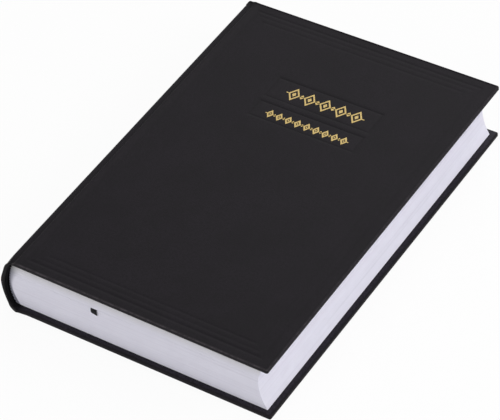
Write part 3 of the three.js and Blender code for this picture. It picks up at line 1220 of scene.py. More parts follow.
    def stations(self) -> tuple[Array, Array]:
        """Where the mesh has points.

        Returns:
            Distances along the cloth, and heights up the cover.
        """
        inner = self.flat_x + self.border - 2
        outer = BOOK.width - self.border
        borders = [self.panel_left + step for step in BORDER_STEPS]
        borders += [self.panel_right - step for step in BORDER_STEPS]
        on_cover = [
            spaced(self.flat_x, inner, self.border_step),
            spaced(inner, outer, self.flat_steps[0]),
            borders if self.panels else [],
            spaced(outer, self.fore_edge - self.corner_radius, self.border_step),
        ]
        arc_end = float(np.interp(34.0, self.path[1], self.dense))
        along = joined(
            spaced(0.0, arc_end, self.spine_step),
            spaced(arc_end, self.flat_from, self.joint_step),
            *([x + (self.flat_from - self.flat_x) for x in run] for run in on_cover),
        )
        top = BOOK.half_height - self.corner_radius
        inner = BOOK.half_height - self.border
        edges = [BOOK.half_height - distance for panel in self.panels for distance in panel]
        up = joined(
            spaced(-top, -inner, self.border_step),
            spaced(-inner, inner, self.flat_steps[1]),
            [edge + sign * step for edge in edges for step in BORDER_STEPS for sign in (-1, 1)],
            spaced(inner, top, self.border_step),
        )
        return along, up

    def inside_panels(self, x: Array, y: Array) -> list[Array]:
        """How far each point lies inside the border of each title panel."""
        sides = [x - self.panel_left, self.panel_right - x]
        return [
            np.minimum.reduce([*sides, y - BOOK.half_height + far, BOOK.half_height - near - y])
            for near, far in self.panels
        ]

    def pressed(self, x: Array, y: Array) -> Array:
        """How far the cover's face lies below its flat height.

        Args:
            x: Drawing x of each point.
            y: Height of each point.

        Returns:
            The depth of the pressed lines and title panels at each point.
        """
        half = BOOK.half_height
        gaps = (BOOK.width - x, x - BOOK.board_spine_x + 0.4, half - y, half + y)
        gap = np.minimum.reduce(gaps)
        depth = sum(line.depth * bell(gap - line.distance, line.spread) for line in self.lines)
        on_board = np.clip((x - self.board_from) / 1.2, 0, 1)
        depth *= on_board
        for inside in self.inside_panels(x, y):
            depth += self.panel_depth * np.clip(inside / self.panel_slope + 0.5, 0, 1)
            depth += self.panel_line * bell(inside, self.panel_slope)
        wave = np.sin(x * 0.071 + 1.3) * np.cos(y * 0.043 - 0.4)
        wave = wave + 0.5 * np.sin(x * 0.13 - y * 0.09)
        return depth + on_board * self.wave_depth * (1.5 + wave) / 2

    def pinched(self, place: Array, height: Array) -> Array:
        """How far the cloth beside the joint is pressed in.

        Args:
            place: Distance of each point along the cloth.
            height: Height of each point.

        Returns:
            The pinch of the shoulder at the tail, less the swell of the joint at the head.
        """
        at_tail = np.clip((-height - BOOK.half_height) / self.pinch_reach + 1, 0, 1)
        at_head = np.clip((height - BOOK.half_height) / self.swell_reach + 1, 0, 1)
        shoulder = bell(place - self.shoulder, self.pinch_spread)
        joint = bell(place - self.joint, self.swell_spread)
        pressed = self.pinch[self.is_back] * at_tail**2 * shoulder
        return pressed - self.swell[self.is_back] * at_head**2 * joint

    def sagging(self, place: Array) -> Array:
        """How far the back shoulder stands out past the head and the tail."""
        return self.sag[self.is_back] * bell(place - self.overhang, self.sag_spread)

    def toned(self, x: Array, y: Array, down: Array) -> tuple[Array, Array]:
        """Painted shade and painted highlights on the cloth's face.

        Args:
            x: Drawing x of each point.
            y: Height of each point.
            down: The depth of the face there.

        Returns:
            Painted shade in the joint's groove, lines and panel borders, and painted highlights.
        """
        # Painted shade in the pressed lines, the joint's groove and, below, the panel borders.
        dark = 0.35 * np.clip((down - 0.05) / 0.12, 0, 1)
        dark = np.maximum(dark, bell(x - 8.9, 1.1))
        # Painted highlights on the board's edge beside the joint and, below, inside the title
        # panels.
        light = 0.05 * bell(x - 12.8, 0.9)
        for inside in self.inside_panels(x, y):
            dark = np.maximum(dark, 0.9 * bell(inside, 0.7))
            light = np.where(inside > 0.8, 0.03, light)
        return dark, light

    def on_spine(self, place: Array) -> Array:
        """1 on the spine and its shoulder, and 0 on the flat cover."""
        return np.clip((self.flat_from - 2.5 - place) / 2.5, 0, 1)

    def rings(self, thickness: Array) -> list[tuple[float, Array, float]]:
        """The steps over the edge: how far out, how deep, and how much rubbing and painted
        highlight.

        Args:
            thickness: The case's thickness at each point of the edge.

        Returns:
            One tuple for each ring of points.
        """
        flat = self.corner_radius - self.edge_radius
        outer_depth = np.minimum(self.edge_radius, 0.45 * thickness)
        inner_depth = np.minimum(self.inner_radius, 0.35 * thickness)
        steps = [(flat * 0.5, 0 * thickness, 0.0), (flat, 0 * thickness, 0.25)]
        for angle in np.radians([18, 36, 54, 72, 90]):
            out = flat + self.edge_radius * math.sin(angle)
            # Rubbing and a painted highlight, brightest a third of the way round the top rounding.
            rubbed = 1.0 - abs(math.degrees(angle) - 36) / 48
            steps.append((out, outer_depth * (1 - math.cos(angle)), rubbed))
        for angle in np.radians([0, 30, 60, 90]):
            out = self.corner_radius - self.inner_radius * (1 - math.cos(angle))
            deep = thickness - inner_depth * (1 - math.sin(angle))
            # A faint painted highlight on the lower rounding.
            steps.append((out, deep, 0.12 * math.sin(angle)))
        return steps

    def boundary(self, along: Array, up: Array) -> Array:
        """The edge of the grid, from the spine along the tail, fore edge and head.

        Args:
            along: Stations along the cloth.
            up: Stations up the cover.

        Returns:
            Rows of places along and up, outward directions, kinds of place (0 on a long edge,
            -1 or 1 at a corner, 2 on the fore edge), and grid point numbers.
        """
        columns, last = len(up), len(along) - 1
        fan = np.radians(np.linspace(-90, 0, 8)[1:-1])
        rows = [(place, up[0], 0.0, -1.0, 0, i * columns) for i, place in enumerate(along)]
        rows += [(along[-1], up[0], math.cos(a), math.sin(a), -1, last * columns) for a in fan]
        rows += [(along[-1], y, 1.0, 0.0, 2, last * columns + j) for j, y in enumerate(up)]
        end, fan = rows[-1][5], -fan[::-1]
        rows += [(along[-1], up[-1], math.cos(a), math.sin(a), 1, end) for a in fan]
        back = range(last, -1, -1)
        rows += [(along[i], up[-1], 0.0, 1.0, 0, (i + 1) * columns - 1) for i in back]
        return np.array(rows).T

    def turned_in(
        self, place: Array, height: Array, kind: Array, share: float
    ) -> tuple[Array, Array]:
        """Where the edge's points lie on the inner face, part of the way to the turn-in's end.

        Args:
            place: Distances of the edge's points along the cloth.
            height: Their heights.
            kind: Their kinds of place.
            share: How much of the way they have gone.

        Returns:
            Their new distances and heights.
        """
        end = self.flat_from - self.flat_x + self.fore_edge
        spine = np.clip((place - self.flat_from + 14) / 12, 0, 1)
        wide = self.spine_turn_in + (BOOK.turn_in - self.spine_turn_in) * spine
        start = end - self.squeezed
        shrunk = start + (place - start) * (self.squeezed - BOOK.turn_in) / self.squeezed
        target = np.where(place > start, shrunk, place)
        target = np.where(kind == 0, target, end - BOOK.turn_in)
        inner = BOOK.half_height - wide
        level = np.where(kind == 2, height * inner / BOOK.half_height, np.sign(height) * inner)
        return place + (target - place) * share, height + (level - height) * share

    def build(self) -> None:
        """Makes the cloth."""
        self.profile()
        along, up = self.stations()
        faces = grid_faces(len(along), len(up))
        drawing, uv, edge, fold, inner = (
            np.concatenate(part) for part in zip(*self.laid_out(along, up, faces))
        )
        on_cover = np.clip(uv[:, 0] / self.flat_from, 0, 1)
        towards_tail = np.clip(-drawing[:, 1] / BOOK.half_height, 0, 1)
        drawing[:, 1] -= self.tail_reach[self.is_back] * on_cover * towards_tail**2
        past = (drawing[:, 0] - self.taper_x) / BOOK.width
        drawing[:, 1] *= 1 + self.taper[self.is_back] * past * on_cover
        if self.is_back:
            drawing = mirrored_height(drawing)
        side, leather = self.side.value, self.palette["leatherette"]
        # Marks: rubbing and painted highlights, painted shade, and painted bounce light inside.
        marks = {"edge": edge, "fold": fold, "inner": inner}
        piece = make_piece(f"{side}_case_cloth", drawing, faces, uv * MM, marks, not self.is_back)
        merge_close(piece)
        thicken(piece, self.cloth)
        smooth(piece, 60)
        dress(piece, leather, "leatherette", f"{side}_cover_cloth", "spine_cloth")
        z = BOOK.cover if self.is_back else BOOK.inner_top
        bend(piece, f"{side}_cover", self.bend_span, z)

    def laid_out(
        self, along: Array, up: Array, faces: list[Face]
    ) -> list[tuple[Array, ...]]:
        """Lays out the cloth: first its face as a grid, then rings over the edge to the inside.

        Args:
            along: Stations along the cloth.
            up: Stations up the cover.
            faces: The grid's faces, to which those of the rings are added.

        Returns:
            For the grid and each ring its points, places on the cloth and three marks: rubbing
            with painted highlights, painted shade, and whether it lies inside, with painted bounce
            light.
        """
        outer, inward, _ = self.at(along)
        places, y = np.repeat(along, len(up)), np.tile(up, len(along))
        x, z = (np.repeat(part, len(up)) for part in outer.T)
        way = np.repeat(inward, len(up), axis=0)
        down = self.pressed(x, y)
        # Painted shade in grooves and panel borders, and painted highlights on raised places.
        folded, painted_highlight = self.toned(x, y, down)
        near_end = np.clip((np.abs(y) - BOOK.half_height + 3.4) / 2.2, 0, 1)
        folded = np.maximum(folded, self.spine_shade * self.on_spine(places) * near_end)
        down = down + self.pinched(places, y)
        grid = np.stack([x + down * way[:, 0], y, z + down * way[:, 1]], 1)
        parts = [(grid, np.stack([places, y], 1), painted_highlight, folded, np.zeros(len(x)))]

        place, height, out_along, out_up, kind, number = self.boundary(along, up)
        previous = number.astype(int)
        count = len(place)
        cap = self.on_spine(place)
        # Painted shade over the edge, deepest at the spine's ends.
        painted_edge_shade = np.maximum(folded[previous], self.spine_shade * cap)
        pinch = self.pinched(place, height)
        sag = self.sagging(place) * out_up
        _, directions, thickness = self.at(place)

        def ring(
            surface: Array, level: Array, far: float, rubbed: Array, within: float
        ) -> None:
            """Adds a ring of points, far along the cloth, and joins it to the one before."""
            nonlocal previous
            spots = np.stack([surface[:, 0], level, surface[:, 1]], 1)
            flat = np.stack([place + far * out_along, height + far * out_up], 1)
            current = np.arange(count) + sum(len(part[0]) for part in parts)
            parts.append((spots, flat, rubbed, painted_edge_shade, np.full(count, within)))
            for a, b, c, d in zip(previous, current, current[1:], previous[1:]):
                faces.append((a, b, c, d) if a != d else (a, b, c))
            previous = current

        travelled, before = 0.0, (0.0, 0.0)
        handled = 1 + 0.8 * (np.abs(kind) == 1)
        # Half the rubbing and painted highlight along the front cover's fore edge.
        fore_wear_and_highlight = 1.0 if self.is_back else np.where(kind == 2, 0.5, 1.0)
        for out, deep, rubbed in self.rings(thickness):
            level = height + out * out_up + sag * min(1.0, out / self.edge_radius)
            surface, _, _ = self.at(place + out * out_along)
            deep = pinch + deep * (1 - pinch / thickness)
            mean = float(np.mean(deep))
            travelled += math.hypot(out - before[0], mean - before[1])
            before = (out, mean)
            mark = np.clip(rubbed * handled, 0, 1) * (1 - cap) * fore_wear_and_highlight
            ring(surface + directions * deep[:, None], level, travelled, mark, 0.0)
        rim = self.corner_radius - self.inner_radius
        rim_place, rim_height = place + rim * out_along, height + rim * out_up + sag
        for share in self.turn_in_shares:
            moved, level = self.turned_in(rim_place, rim_height, kind, share)
            surface, way_in, deep = self.at(moved)
            far = travelled + share * BOOK.turn_in
            # The turn-ins get painted bounce light.
            ring(surface + way_in * deep[:, None], level, far, np.zeros(count), 1.0)
        return parts

    def build_board(self) -> None:
        """Makes the board inside the cloth."""
        edge = self.corner_radius + self.board_gap - self.cloth
        tail = -BOOK.half_height + edge - self.tail_reach[self.is_back]
        start, end = BOOK.board_spine_x + 0.3, self.fore_edge - edge
        along = joined(spaced(start, end, self.board_step))
        up = joined(spaced(tail, BOOK.half_height - edge, self.board_step))
        x, y = np.repeat(along, len(up)), np.tile(up, len(along))
        middle = (BOOK.thickness + BOOK.inner_top) / 2
        points = np.stack([x, y, np.full_like(x, middle)], 1)
        if self.is_back:
            points = mirrored_height(points)
        side, faces = self.side.value, grid_faces(len(along), len(up))
        piece = make_piece(f"{side}_cover_board", points, faces, flip=self.is_back)
        thicken(piece, BOOK.cover - 2 * self.board_gap, 0.0)
        dress(piece, self.palette["board"], "board", f"{side}_board")
        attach(piece, f"{side}_cover")


@dataclass
class TitleOrnament:
    """A row of stamped lozenges in one title panel."""

    palette: Palette
    name: str
    from_head: float
    left: float
    right: float
    count: int
    half: float
    slimness: float = 0.72
    rim: float = 0.95
    heart: float = 0.5
    link: float = 0.6
    link_overlap: float = 0.97
    small_size: Pair = (0.16, 0.35)
    foil: float = 0.08
    bevel: Pair = (0.6, 0.94)
    floor: float = 0.1

    @property
    def pitch(self) -> float:
        """Distance from one lozenge to the next."""
        return (self.right - self.left) / self.count

    def lozenge(self) -> tuple[list[list[float]], list[Face], list[float]]:
        """One lozenge with its heart, its half links, and the small lozenge before the next.

        Returns:
            Points, faces, and for each point whether it belongs to the small lozenge.
        """
        pitch = self.pitch
        wide = pitch / 2 * self.slimness
        points: list[list[float]] = []
        faces: list[Face] = []

        def slab(outline: Sequence[Pair], hole: Sequence[Pair] | None = None) -> None:
            """Adds a thin closed slab with a bevelled top, or with a hole."""
            start, n, top = len(points), len(outline), self.foil
            cx, (low, shrunk) = sum(x for x, _ in outline) / n, self.bevel
            rings = [(outline, 0.0, 1.0), (outline, top * low, 1.0), (outline, top, shrunk)]
            if hole:
                rings = [(outline, 0.0, 1.0), (outline, top, 1.0)]
                rings += [(hole, top, 1.0), (hole, 0.0, 1.0)]
            for ring, level, shrink in rings:
                points.extend([cx + (x - cx) * shrink, y * shrink, level] for x, y in ring)
            for layer in range(len(rings) if hole else len(rings) - 1):
                below, above = (start + row % len(rings) * n for row in (layer, layer + 1))
                for i, j in ((i, (i + 1) % n) for i in range(n)):
                    faces.append((below + i, below + j, above + j, above + i))
            if not hole:
                faces.append(tuple(start + 2 * n + i for i in range(n)))
                faces.append(tuple(start + i for i in reversed(range(n))))

        def diamond(x: float, w: float, h: float) -> list[Pair]:
            """The four corners of a lozenge."""
            return [(x - w, 0.0), (x, -h), (x + w, 0.0), (x, h)]

        inner_w = wide - self.rim * (math.hypot(wide, self.half) / self.half)
        inner_h = inner_w * self.half / wide
        slab(diamond(0.0, wide, self.half), diamond(0.0, inner_w, inner_h))
        slab(diamond(0.0, inner_w * self.heart, inner_h * self.heart))
        half, reach = self.link / 2, wide * self.link_overlap
        for x0, x1 in ((-pitch / 2, -reach), (reach, pitch / 2)):
            slab([(x0, -half), (x1, -half), (x1, half), (x0, half)])
        kept = len(points)
        slab(diamond(pitch / 2, pitch * self.small_size[0], self.half * self.small_size[1]))
        return points, faces, [float(i >= kept) for i in range(len(points))]

    def build(self, tree: NodeTree) -> None:
        """Makes the row.

        Args:
            tree: The shared tree that repeats a figure.
        """
        points, faces, between = self.lozenge()
        y = BOOK.half_height - self.from_head
        level = BOOK.thickness - self.floor - 0.3 * self.foil
        placed = np.array(points) + np.array([self.left + self.pitch / 2, y, level])
        values = {"between": np.array(between)}
        piece = make_piece(f"gold_{self.name}", placed, faces, values=values)
        gold = self.palette["gold"]
        run_tree(piece, tree, {"Count": self.count, "Pitch": self.pitch * MM, "Material": gold})
        dress(piece, gold, "gold_foil", self.name)
        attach(piece, "front_cover")


def figure_row() -> NodeTree:
    """A tree that repeats a figure along X and drops the last figure's link to the next.

    Returns:
        The tree, with the figure as its geometry.
    """
    tree = Tree("Figure Row", GEOMETRY, {"Count": 5, "Pitch": 0.0})
    given = tree.given
    inputs = {"Count": given["Count"], "Offset": tree.vector(given["Pitch"], 0.0, 0.0)}
    line = tree.get("GeometryNodeMeshLine", inputs)
    line = tree.numbers(line, "figure", tree.get("GeometryNodeInputIndex"))
    figures = tree.copies(line, given["Geometry"])
    is_last = tree.number("figure") > given["Count"] - 1.5
    inputs = {"Geometry": figures, "Selection": is_last * tree.number("between")}
    return tree.gives_mesh(tree.get("GeometryNodeDeleteGeometry", inputs, domain="POINT"))


# The block: sewn sections of folded sheets


@dataclass
class PageBlock:
    """The sixteen sections, each of ten folded sheets that a tree bends round their fold."""

    palette: Palette
    sheets: int = 10
    paper: float = 0.094
    across: int = 15
    loose: int = 2
    loose_end: float = 10.42
    loose_top: float = 36.38
    marker_gap: float = 0.11
    fold_gap: float = 0.02
    fill: float = 0.96
    uneven_height: float = 0.7

    def tree(self, sizes: dict[str, float]) -> NodeTree:
        """The tree that folds and nests the sheets.

        Each sheet starts as a unit box. Its points along X are laid along the upper leg, round
        the fold and along the lower leg; its thickness goes outwards from the fold.

        Args:
            sizes: The names of its inputs, with plain values.

        Returns:
            The tree.
        """
        tree = Tree("Folded Section", GEOMETRY, sizes)
        given = tree.given
        line = tree.get("GeometryNodeMeshLine", {"Count": given["Sheets"], "Offset": (0, 0, 0)})
        line = tree.numbers(line, "sheet", tree.get("GeometryNodeInputIndex"))
        box = {"Size": (1, 1, 1), "Vertices X": given["Points Across"]}
        box |= {"Vertices Y": 2, "Vertices Z": 2}
        stacked = tree.copies(line, tree.get("GeometryNodeMeshCube", box))
        number = tree.number("sheet")
        px, py, pz = tree.split(tree.get("GeometryNodeInputPosition"))
        points = given["Points Across"] - 1.0
        step = ((px + 0.5) * points).nearest()
        share = tree.math("DIVIDE", step - 1.0, points - 2.0, clamp=True)
        angle = tree.math("MULTIPLY_ADD", share, math.pi, math.pi / 2)
        radius = (number + 0.5) * given["Pitch"] + pz * given["Thickness"]
        round_x = given["Fold X"] + radius * angle.cosine()
        z = given["Fold Z"] + radius * angle.sine()
        is_upper, is_lower = step < 0.5, step > points - 0.5
        trim = tree.random(-1.0, 1.0, number * 2.0 + is_lower) * given["Trim"]
        rise = z - given["Arc Z"]
        depth = (given["Arc Radius"] ** 2.0 - rise * rise).root()
        fore = given["Arc X"] - depth + given["Leaf Width"] + trim
        is_outer = number > given["Sheets"] - given["Loose Sheets"] - 0.5
        end = self._pick(is_upper * is_outer, fore, given["Loose End"])
        x = self._pick(is_upper.most(is_lower), round_x, end)
        higher = tree.math("MULTIPLY_ADD", trim, self.uneven_height, given["Leaf Height"])
        inputs = {"Geometry": stacked, "Position": tree.vector(x, py * -1.0 * higher, z)}
        bent = tree.get("GeometryNodeSetPosition", inputs)
        return tree.gives_mesh(tree.numbers(bent, "leaf_tone", tree.random(0.0, 1.0, number)))

    @staticmethod
    def _pick(mask: Wire, first: Wire, second: Wire) -> Wire:
        """The first value where the mask is 0, the second where it is 1."""
        return mask.graph.math("MULTIPLY_ADD", mask, second - first, first)

    def span(self, number: int) -> Pair:
        """The room of a section's paper, which closes in on the marker between two.

        Args:
            number: The section, counted from the front cover.

        Returns:
            Its bottom and top.
        """
        bottom, top = BOOK.section_span(number)
        squeeze = (BOOK.ribbon_room + BOOK.section_gap - self.marker_gap) / 2
        if number == BOOK.ribbon_under:
            bottom -= squeeze
        if number == BOOK.ribbon_under + 1:
            top += squeeze
        return bottom, top

    def build(self) -> None:
        """Makes every section."""
        tree = None
        for number in range(1, BOOK.sections + 1):
            bottom, top = self.span(number)
            pitch = (top - bottom) / (2 * self.sheets)
            loose = self.loose if number == 1 else 0
            if loose:
                pitch = (self.loose_top - bottom) / (2 * self.sheets - loose)
            reach = pitch * self.sheets
            fold_x = BOOK.spine_x(bottom + reach) + reach + self.fold_gap
            ruled = number in (1, BOOK.sections)
            material = self.palette["ruled_block" if ruled else "block"]
            lengths = {
                "Pitch": pitch,
                "Thickness": min(self.paper, pitch * self.fill),
                "Fold X": fold_x - SPINE_TO_ORIGIN,
                "Fold Z": bottom + reach,
                "Arc X": BOOK.arc_centre_x - SPINE_TO_ORIGIN,
                "Arc Z": BOOK.middle,
                "Arc Radius": BOOK.block_radius,
                "Leaf Width": BOOK.leaf_width - BOOK.leaf_trim,
                "Leaf Height": BOOK.leaf_height - 2 * BOOK.leaf_trim,
                "Trim": BOOK.leaf_trim,
                "Loose End": self.loose_end - SPINE_TO_ORIGIN,
            }
            inputs = {label: length * MM for label, length in lengths.items()}
            inputs |= {"Sheets": self.sheets, "Points Across": self.across}
            inputs |= {"Loose Sheets": loose, "Seed": number}
            tree = tree or self.tree(inputs)
            piece = start_piece(f"section_{number:02d}_leaves")
            run_tree(piece, tree, {**inputs, "Material": material})
            piece.data.transform(Matrix.Translation((0.0, -BOOK.block_to_tail * MM, 0.0)))
            dress(piece, material, "pages", f"section_{number:02d}")
            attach(piece, "text_block")


@dataclass
class TurningLeaf:
    """A single leaf, lying flat from the gutter."""

    palette: Palette
    name: str
    height: float
    slot: str
    finish: str
    paper: float = 0.1
    bend_span: Pair = (10.4, 22.0)
    gutter_gap: float = 0.02

    def build(self) -> None:
        """Makes the leaf."""
        start, bent = BOOK.leaf_hinge_x + self.gutter_gap, self.bend_span[1]
        end = BOOK.arc_x(self.height) + BOOK.leaf_width - BOOK.leaf_trim
        along = joined(spaced(start, bent, 0.6), spaced(bent, end, 9.0))
        line = np.stack([along, np.full_like(along, self.height)], 1)
        across = along - BOOK.leaf_hinge_x
        piece = swept(f"{self.name}_sheet", line, BOOK.leaf_places, self.paper, across)
        dress(piece, self.palette[self.finish], self.slot, self.name)
        bend(piece, self.name, self.bend_span, self.height)


@dataclass
class Endpaper:
    """The pastedown with the part that crosses the joint, down to the fold at the gutter.

    Places are those at the front cover; the back cover's are mirrored.
    """

    palette: Palette
    side: Side
    paper: float = 0.11
    strip_paper: float = 0.1
    margin: float = 4.0
    trim: float = 0.4
    on_turn_in: float = 37.01
    in_window: float = 37.24
    window_from: float = 11.0
    slope: float = 1.6
    bend_span: Pair = (6.6, 8.2)
    fine: float = 0.4
    fold_x: tuple[float, ...] = (6.95, 6.78, 6.74, 6.84, 7.2, 7.7, 8.4, 9.2, 9.9, 10.8)
    fold_z: tuple[float, ...] = (36.46, 36.5, 36.56, 36.64, 36.76, 36.86, 36.93, 36.98, 37, 37.01)
    strip_x: tuple[float, ...] = (7.02, 7.6, 8.5, 9.5, 10.45)
    strip_z: tuple[float, ...] = (36.45, 36.5, 36.62, 36.75, 36.81)

    def build(self) -> None:
        """Makes the sheet, curved beside the joint and sunk inside the turn-ins."""
        keys = np.array([self.fold_x, self.fold_z]).T
        lengths = lengths_along(keys)
        dense = np.linspace(0, lengths[-1], 40)
        folded = np.stack([np.interp(dense, lengths, part) for part in keys.T], 1)
        end, window = BOOK.width - self.margin, BOOK.width - BOOK.turn_in
        near, far = window - 2, window + 2
        flat = joined(
            spaced(self.window_from + 0.2, near, 6.0), spaced(near, far, self.fine), [far + 4, end]
        )
        flat = np.stack([flat, np.full_like(flat, self.on_turn_in)], 1)
        line = np.concatenate([folded, flat])
        half = BOOK.half_height - self.trim - self.margin
        inner = BOOK.half_height - BOOK.turn_in
        up = joined(
            spaced(-half, -inner - 2, 2.0),
            spaced(-inner - 2, -inner + 2, self.fine),
            spaced(-inner + 2, inner - 2, 12.0),
            spaced(inner - 2, inner + 2, self.fine),
            spaced(inner + 2, half, 2.0),
        )
        x, y = np.repeat(line[:, 0], len(up)), np.tile(up, len(line))
        inside = np.minimum.reduce([x - self.window_from, window - x, inner - np.abs(y)])
        sunk = np.clip(inside / self.slope + 0.3, 0, 1)
        sunk = sunk * sunk * (3 - 2 * sunk) * (x > self.window_from)
        lift = (self.in_window - self.on_turn_in) * sunk
        is_back, side = self.side is Side.BACK, self.side.value
        name = f"{side}_endpaper_sheet"
        piece = swept(name, line, up, self.paper, lift=lift, mirrored=is_back)
        dress(piece, self.palette["endpaper"], "endpaper", f"{side}_pastedown")
        level = BOOK.cover if is_back else BOOK.inner_top
        bend(piece, f"{side}_cover", self.bend_span, level)

    def build_strip(self) -> None:
        """Makes the strip between the fold and the gutter, where the flyleaf starts."""
        x = np.linspace(self.strip_x[0], self.strip_x[-1], 12)
        line = np.stack([x, np.interp(x, self.strip_x, self.strip_z)], 1)
        is_back, side = self.side is Side.BACK, self.side.value
        up, name = BOOK.leaf_places, f"{side}_hinge_fold"
        piece = swept(name, line, up, self.strip_paper, x, mirrored=is_back)
        dress(piece, self.palette["endpaper"], "endpaper", f"{side}_hinge_strip")
        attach(piece, "text_block")


# What is glued and sewn to the spine


@dataclass
class SpineLayers:
    """Sewing tapes, mull, lining, card, sewing thread and both bands."""

    palette: Palette
    low: float = 3.9
    card_low: float = 3.7
    tape_width: float = 12.0
    tapes: tuple[float, ...] = (-72.0, 0.0, 72.0)
    mull_half: float = 114.0
    lining_half: float = 112.0
    card_half: float = 125.1
    flat_arc: float = 0.0342
    thread: float = 0.19
    thread_bend: float = 0.4
    thread_end: float = 104.0
    thread_away: Pair = (0.3, 0.5)
    thread_rise: float = 1.5
    band_from: float = 115.0
    band_y: float = 123.5
    band_offset: float = 0.9
    band_radius: float = 0.8
    wrap: float = 0.13
    wraps_pitch: float = 0.27
    points_per_wrap: float = 9.0
    core_sides: int = 10
    core_rows: int = 40

    def layer(
        self, name: str, outside: float, wall: float, span: Pair, bump: float = 0.0,
        low: float | None = None,
    ) -> Piece:
        """A thin curved layer over the folds.

        Args:
            name: The piece's name.
            outside: Distance of its middle outside the block.
            wall: Its thickness.
            span: Lowest and highest y.
            bump: How far the folds below press it out.
            low: Height of its lower end, if not the usual one.

        Returns:
            The piece, not yet dressed.
        """
        low = low or self.low
        heights = np.array(spaced(low, BOOK.thickness - low, 0.35))
        pitch = (BOOK.block_top - BOOK.block_bottom) / BOOK.sections
        wave = bump * np.cos(2 * math.pi * (heights - BOOK.block_bottom) / pitch)
        x = np.array([BOOK.spine_x(z, outside) for z in heights]) + wave
        return swept(name, np.stack([x, heights], 1), np.array(spaced(*span, 2.0)), wall)

    def build_cloths(self) -> None:
        """Makes the tapes, the mull, the paper lining and the card of the hollow back."""
        half, arc = self.tape_width / 2, self.flat_arc
        for i, place in enumerate(self.tapes, 1):
            piece = self.layer(f"linen_tape_{i}", 0.15, 0.16, (place - half, place + half), 0.03)
            dress(piece, self.palette["cotton"], "cotton", f"sewing_tape_{i}")
            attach(piece, "text_block")
        piece = self.layer("mull_gauze", 0.85, 0.14, (-self.mull_half, self.mull_half), 0.04)
        dress(piece, self.palette["cotton"], "cotton", "mull")
        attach(piece, "text_block")
        for name, node, outside, wall, half, low in (
            ("paper_lining", "spine_lining", 1.1, 0.2, self.lining_half, self.low),
            ("spine_card", "spine_strip", 2.1, 0.7, self.card_half, self.card_low),
        ):
            piece = self.layer(name, outside, wall, (-half, half), low=low)
            dress(piece, self.palette["card"], "card", node)
            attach(piece, "text_block")

    def thread_points(self) -> list[list[float]]:
        """The sewing thread's way: along each fold, over the tapes, and on to the next section.

        Returns:
            Its corners.
        """
        near, away = self.thread_away
        half, rise = self.tape_width / 2, self.thread_rise
        stops = [(-self.thread_end, near)]
        for tape in self.tapes:
            stops += [(tape - half - rise, near), (tape - half, away)]
            stops += [(tape + half, away), (tape + half + rise, near)]
        stops.append((self.thread_end, near))
        points = []
        for number in range(1, BOOK.sections + 1):
            z = sum(BOOK.section_span(number)) / 2
            forward = 1 if number % 2 else -1
            points += [[BOOK.spine_x(z, outside), forward * y, z] for y, outside in stops]
        return points

    def build_thread(self) -> None:
        """Makes the sewing thread with a tree that gives its path a round section."""
        tree = Tree("Thread Along Path", GEOMETRY, {"Radius": 0.0, "Bend": 0.0})
        given = tree.given
        path = tree.get("GeometryNodeMeshToCurve", {0: given["Geometry"]})
        inputs = {"Curve": path, "Radius": given["Bend"], "Limit Radius": True}
        eased = tree.get("GeometryNodeFilletCurve", inputs)
        tree.gives_mesh(tree.tube(eased, given["Radius"], 6))
        piece = start_piece("linen_thread", self.thread_points())
        sizes = {"Radius": self.thread * MM, "Bend": self.thread_bend * MM}
        run_tree(piece, tree.tree, {**sizes, "Material": self.palette["thread"]})
        smooth(piece)
        dress(piece, self.palette["thread"], "cotton", "sewing_thread")
        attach(piece, "text_block")

    @property
    def band_arc(self) -> float:
        """Radius of the arc that a band follows."""
        return BOOK.block_radius + self.band_offset

    @property
    def half_angle(self) -> float:
        """Half the angle that a band takes on the spine's arc."""
        return math.asin((BOOK.middle - self.low) / self.band_arc)

    def band_tree(self, sizes: dict[str, float]) -> NodeTree:
        """A tree that winds one thread round a core that follows the spine's arc.

        Args:
            sizes: The names of its inputs, with plain values.

        Returns:
            The tree.
        """
        tree = Tree("Wound Band", GEOMETRY, sizes)
        given = tree.given
        count = given["Wraps"] * self.points_per_wrap
        line = tree.get("GeometryNodeMeshLine", {"Count": count, "Offset": (0, 0, 0)})
        index = tree.get("GeometryNodeInputIndex")
        angle = tree.math("MULTIPLY_ADD", index / count, 2.0, -1.0) * given["Half Angle"]
        turn = index * (2 * math.pi / self.points_per_wrap)
        reach = given["Arc Radius"] + given["Band Radius"] * turn.cosine()
        x = given["Arc X"] - reach * angle.cosine()
        y = given["Band Y"] + given["Band Radius"] * turn.sine()
        z = given["Arc Z"] + reach * angle.sine()
        inputs = {"Geometry": line, "Position": tree.vector(x, y, z)}
        wound = tree.get("GeometryNodeSetPosition", inputs)
        path = tree.get("GeometryNodeMeshToCurve", {0: wound})
        both = tree.add("GeometryNodeJoinGeometry")
        for part in (tree.tube(path, given["Thread Radius"], 5), given["Geometry"]):
            tree.feed(both.inputs[0], part)
        return tree.gives_mesh(Wire(tree, both.outputs[0]))

    def core(self, name: str, y: float) -> Piece:
        """The round core of a band, closed at both ends.

        Args:
            name: The piece's name.
            y: Its place along the spine.

        Returns:
            The piece, not yet dressed.
        """
        radius = self.band_radius - self.wrap
        sides, rows = self.core_sides, self.core_rows
        turn = np.tile(2 * math.pi * np.arange(sides) / sides, rows)
        angle = np.repeat(self.half_angle * (2 * np.arange(rows) / (rows - 1) - 1), sides)
        reach = self.band_arc + radius * np.cos(turn)
        x = BOOK.arc_centre_x - reach * np.cos(angle)
        z = BOOK.middle + reach * np.sin(angle)
        around = [(k, (k + 1) % sides) for k in range(sides)]
        faces = [
            (i + a, i + a + sides, i + b + sides, i + b)
            for i in range(0, (rows - 1) * sides, sides)
            for a, b in around
        ]
        faces += [tuple(range(sides)), tuple(reversed(range((rows - 1) * sides, rows * sides)))]
        return make_piece(name, np.stack([x, y + radius * np.sin(turn), z], 1), faces)

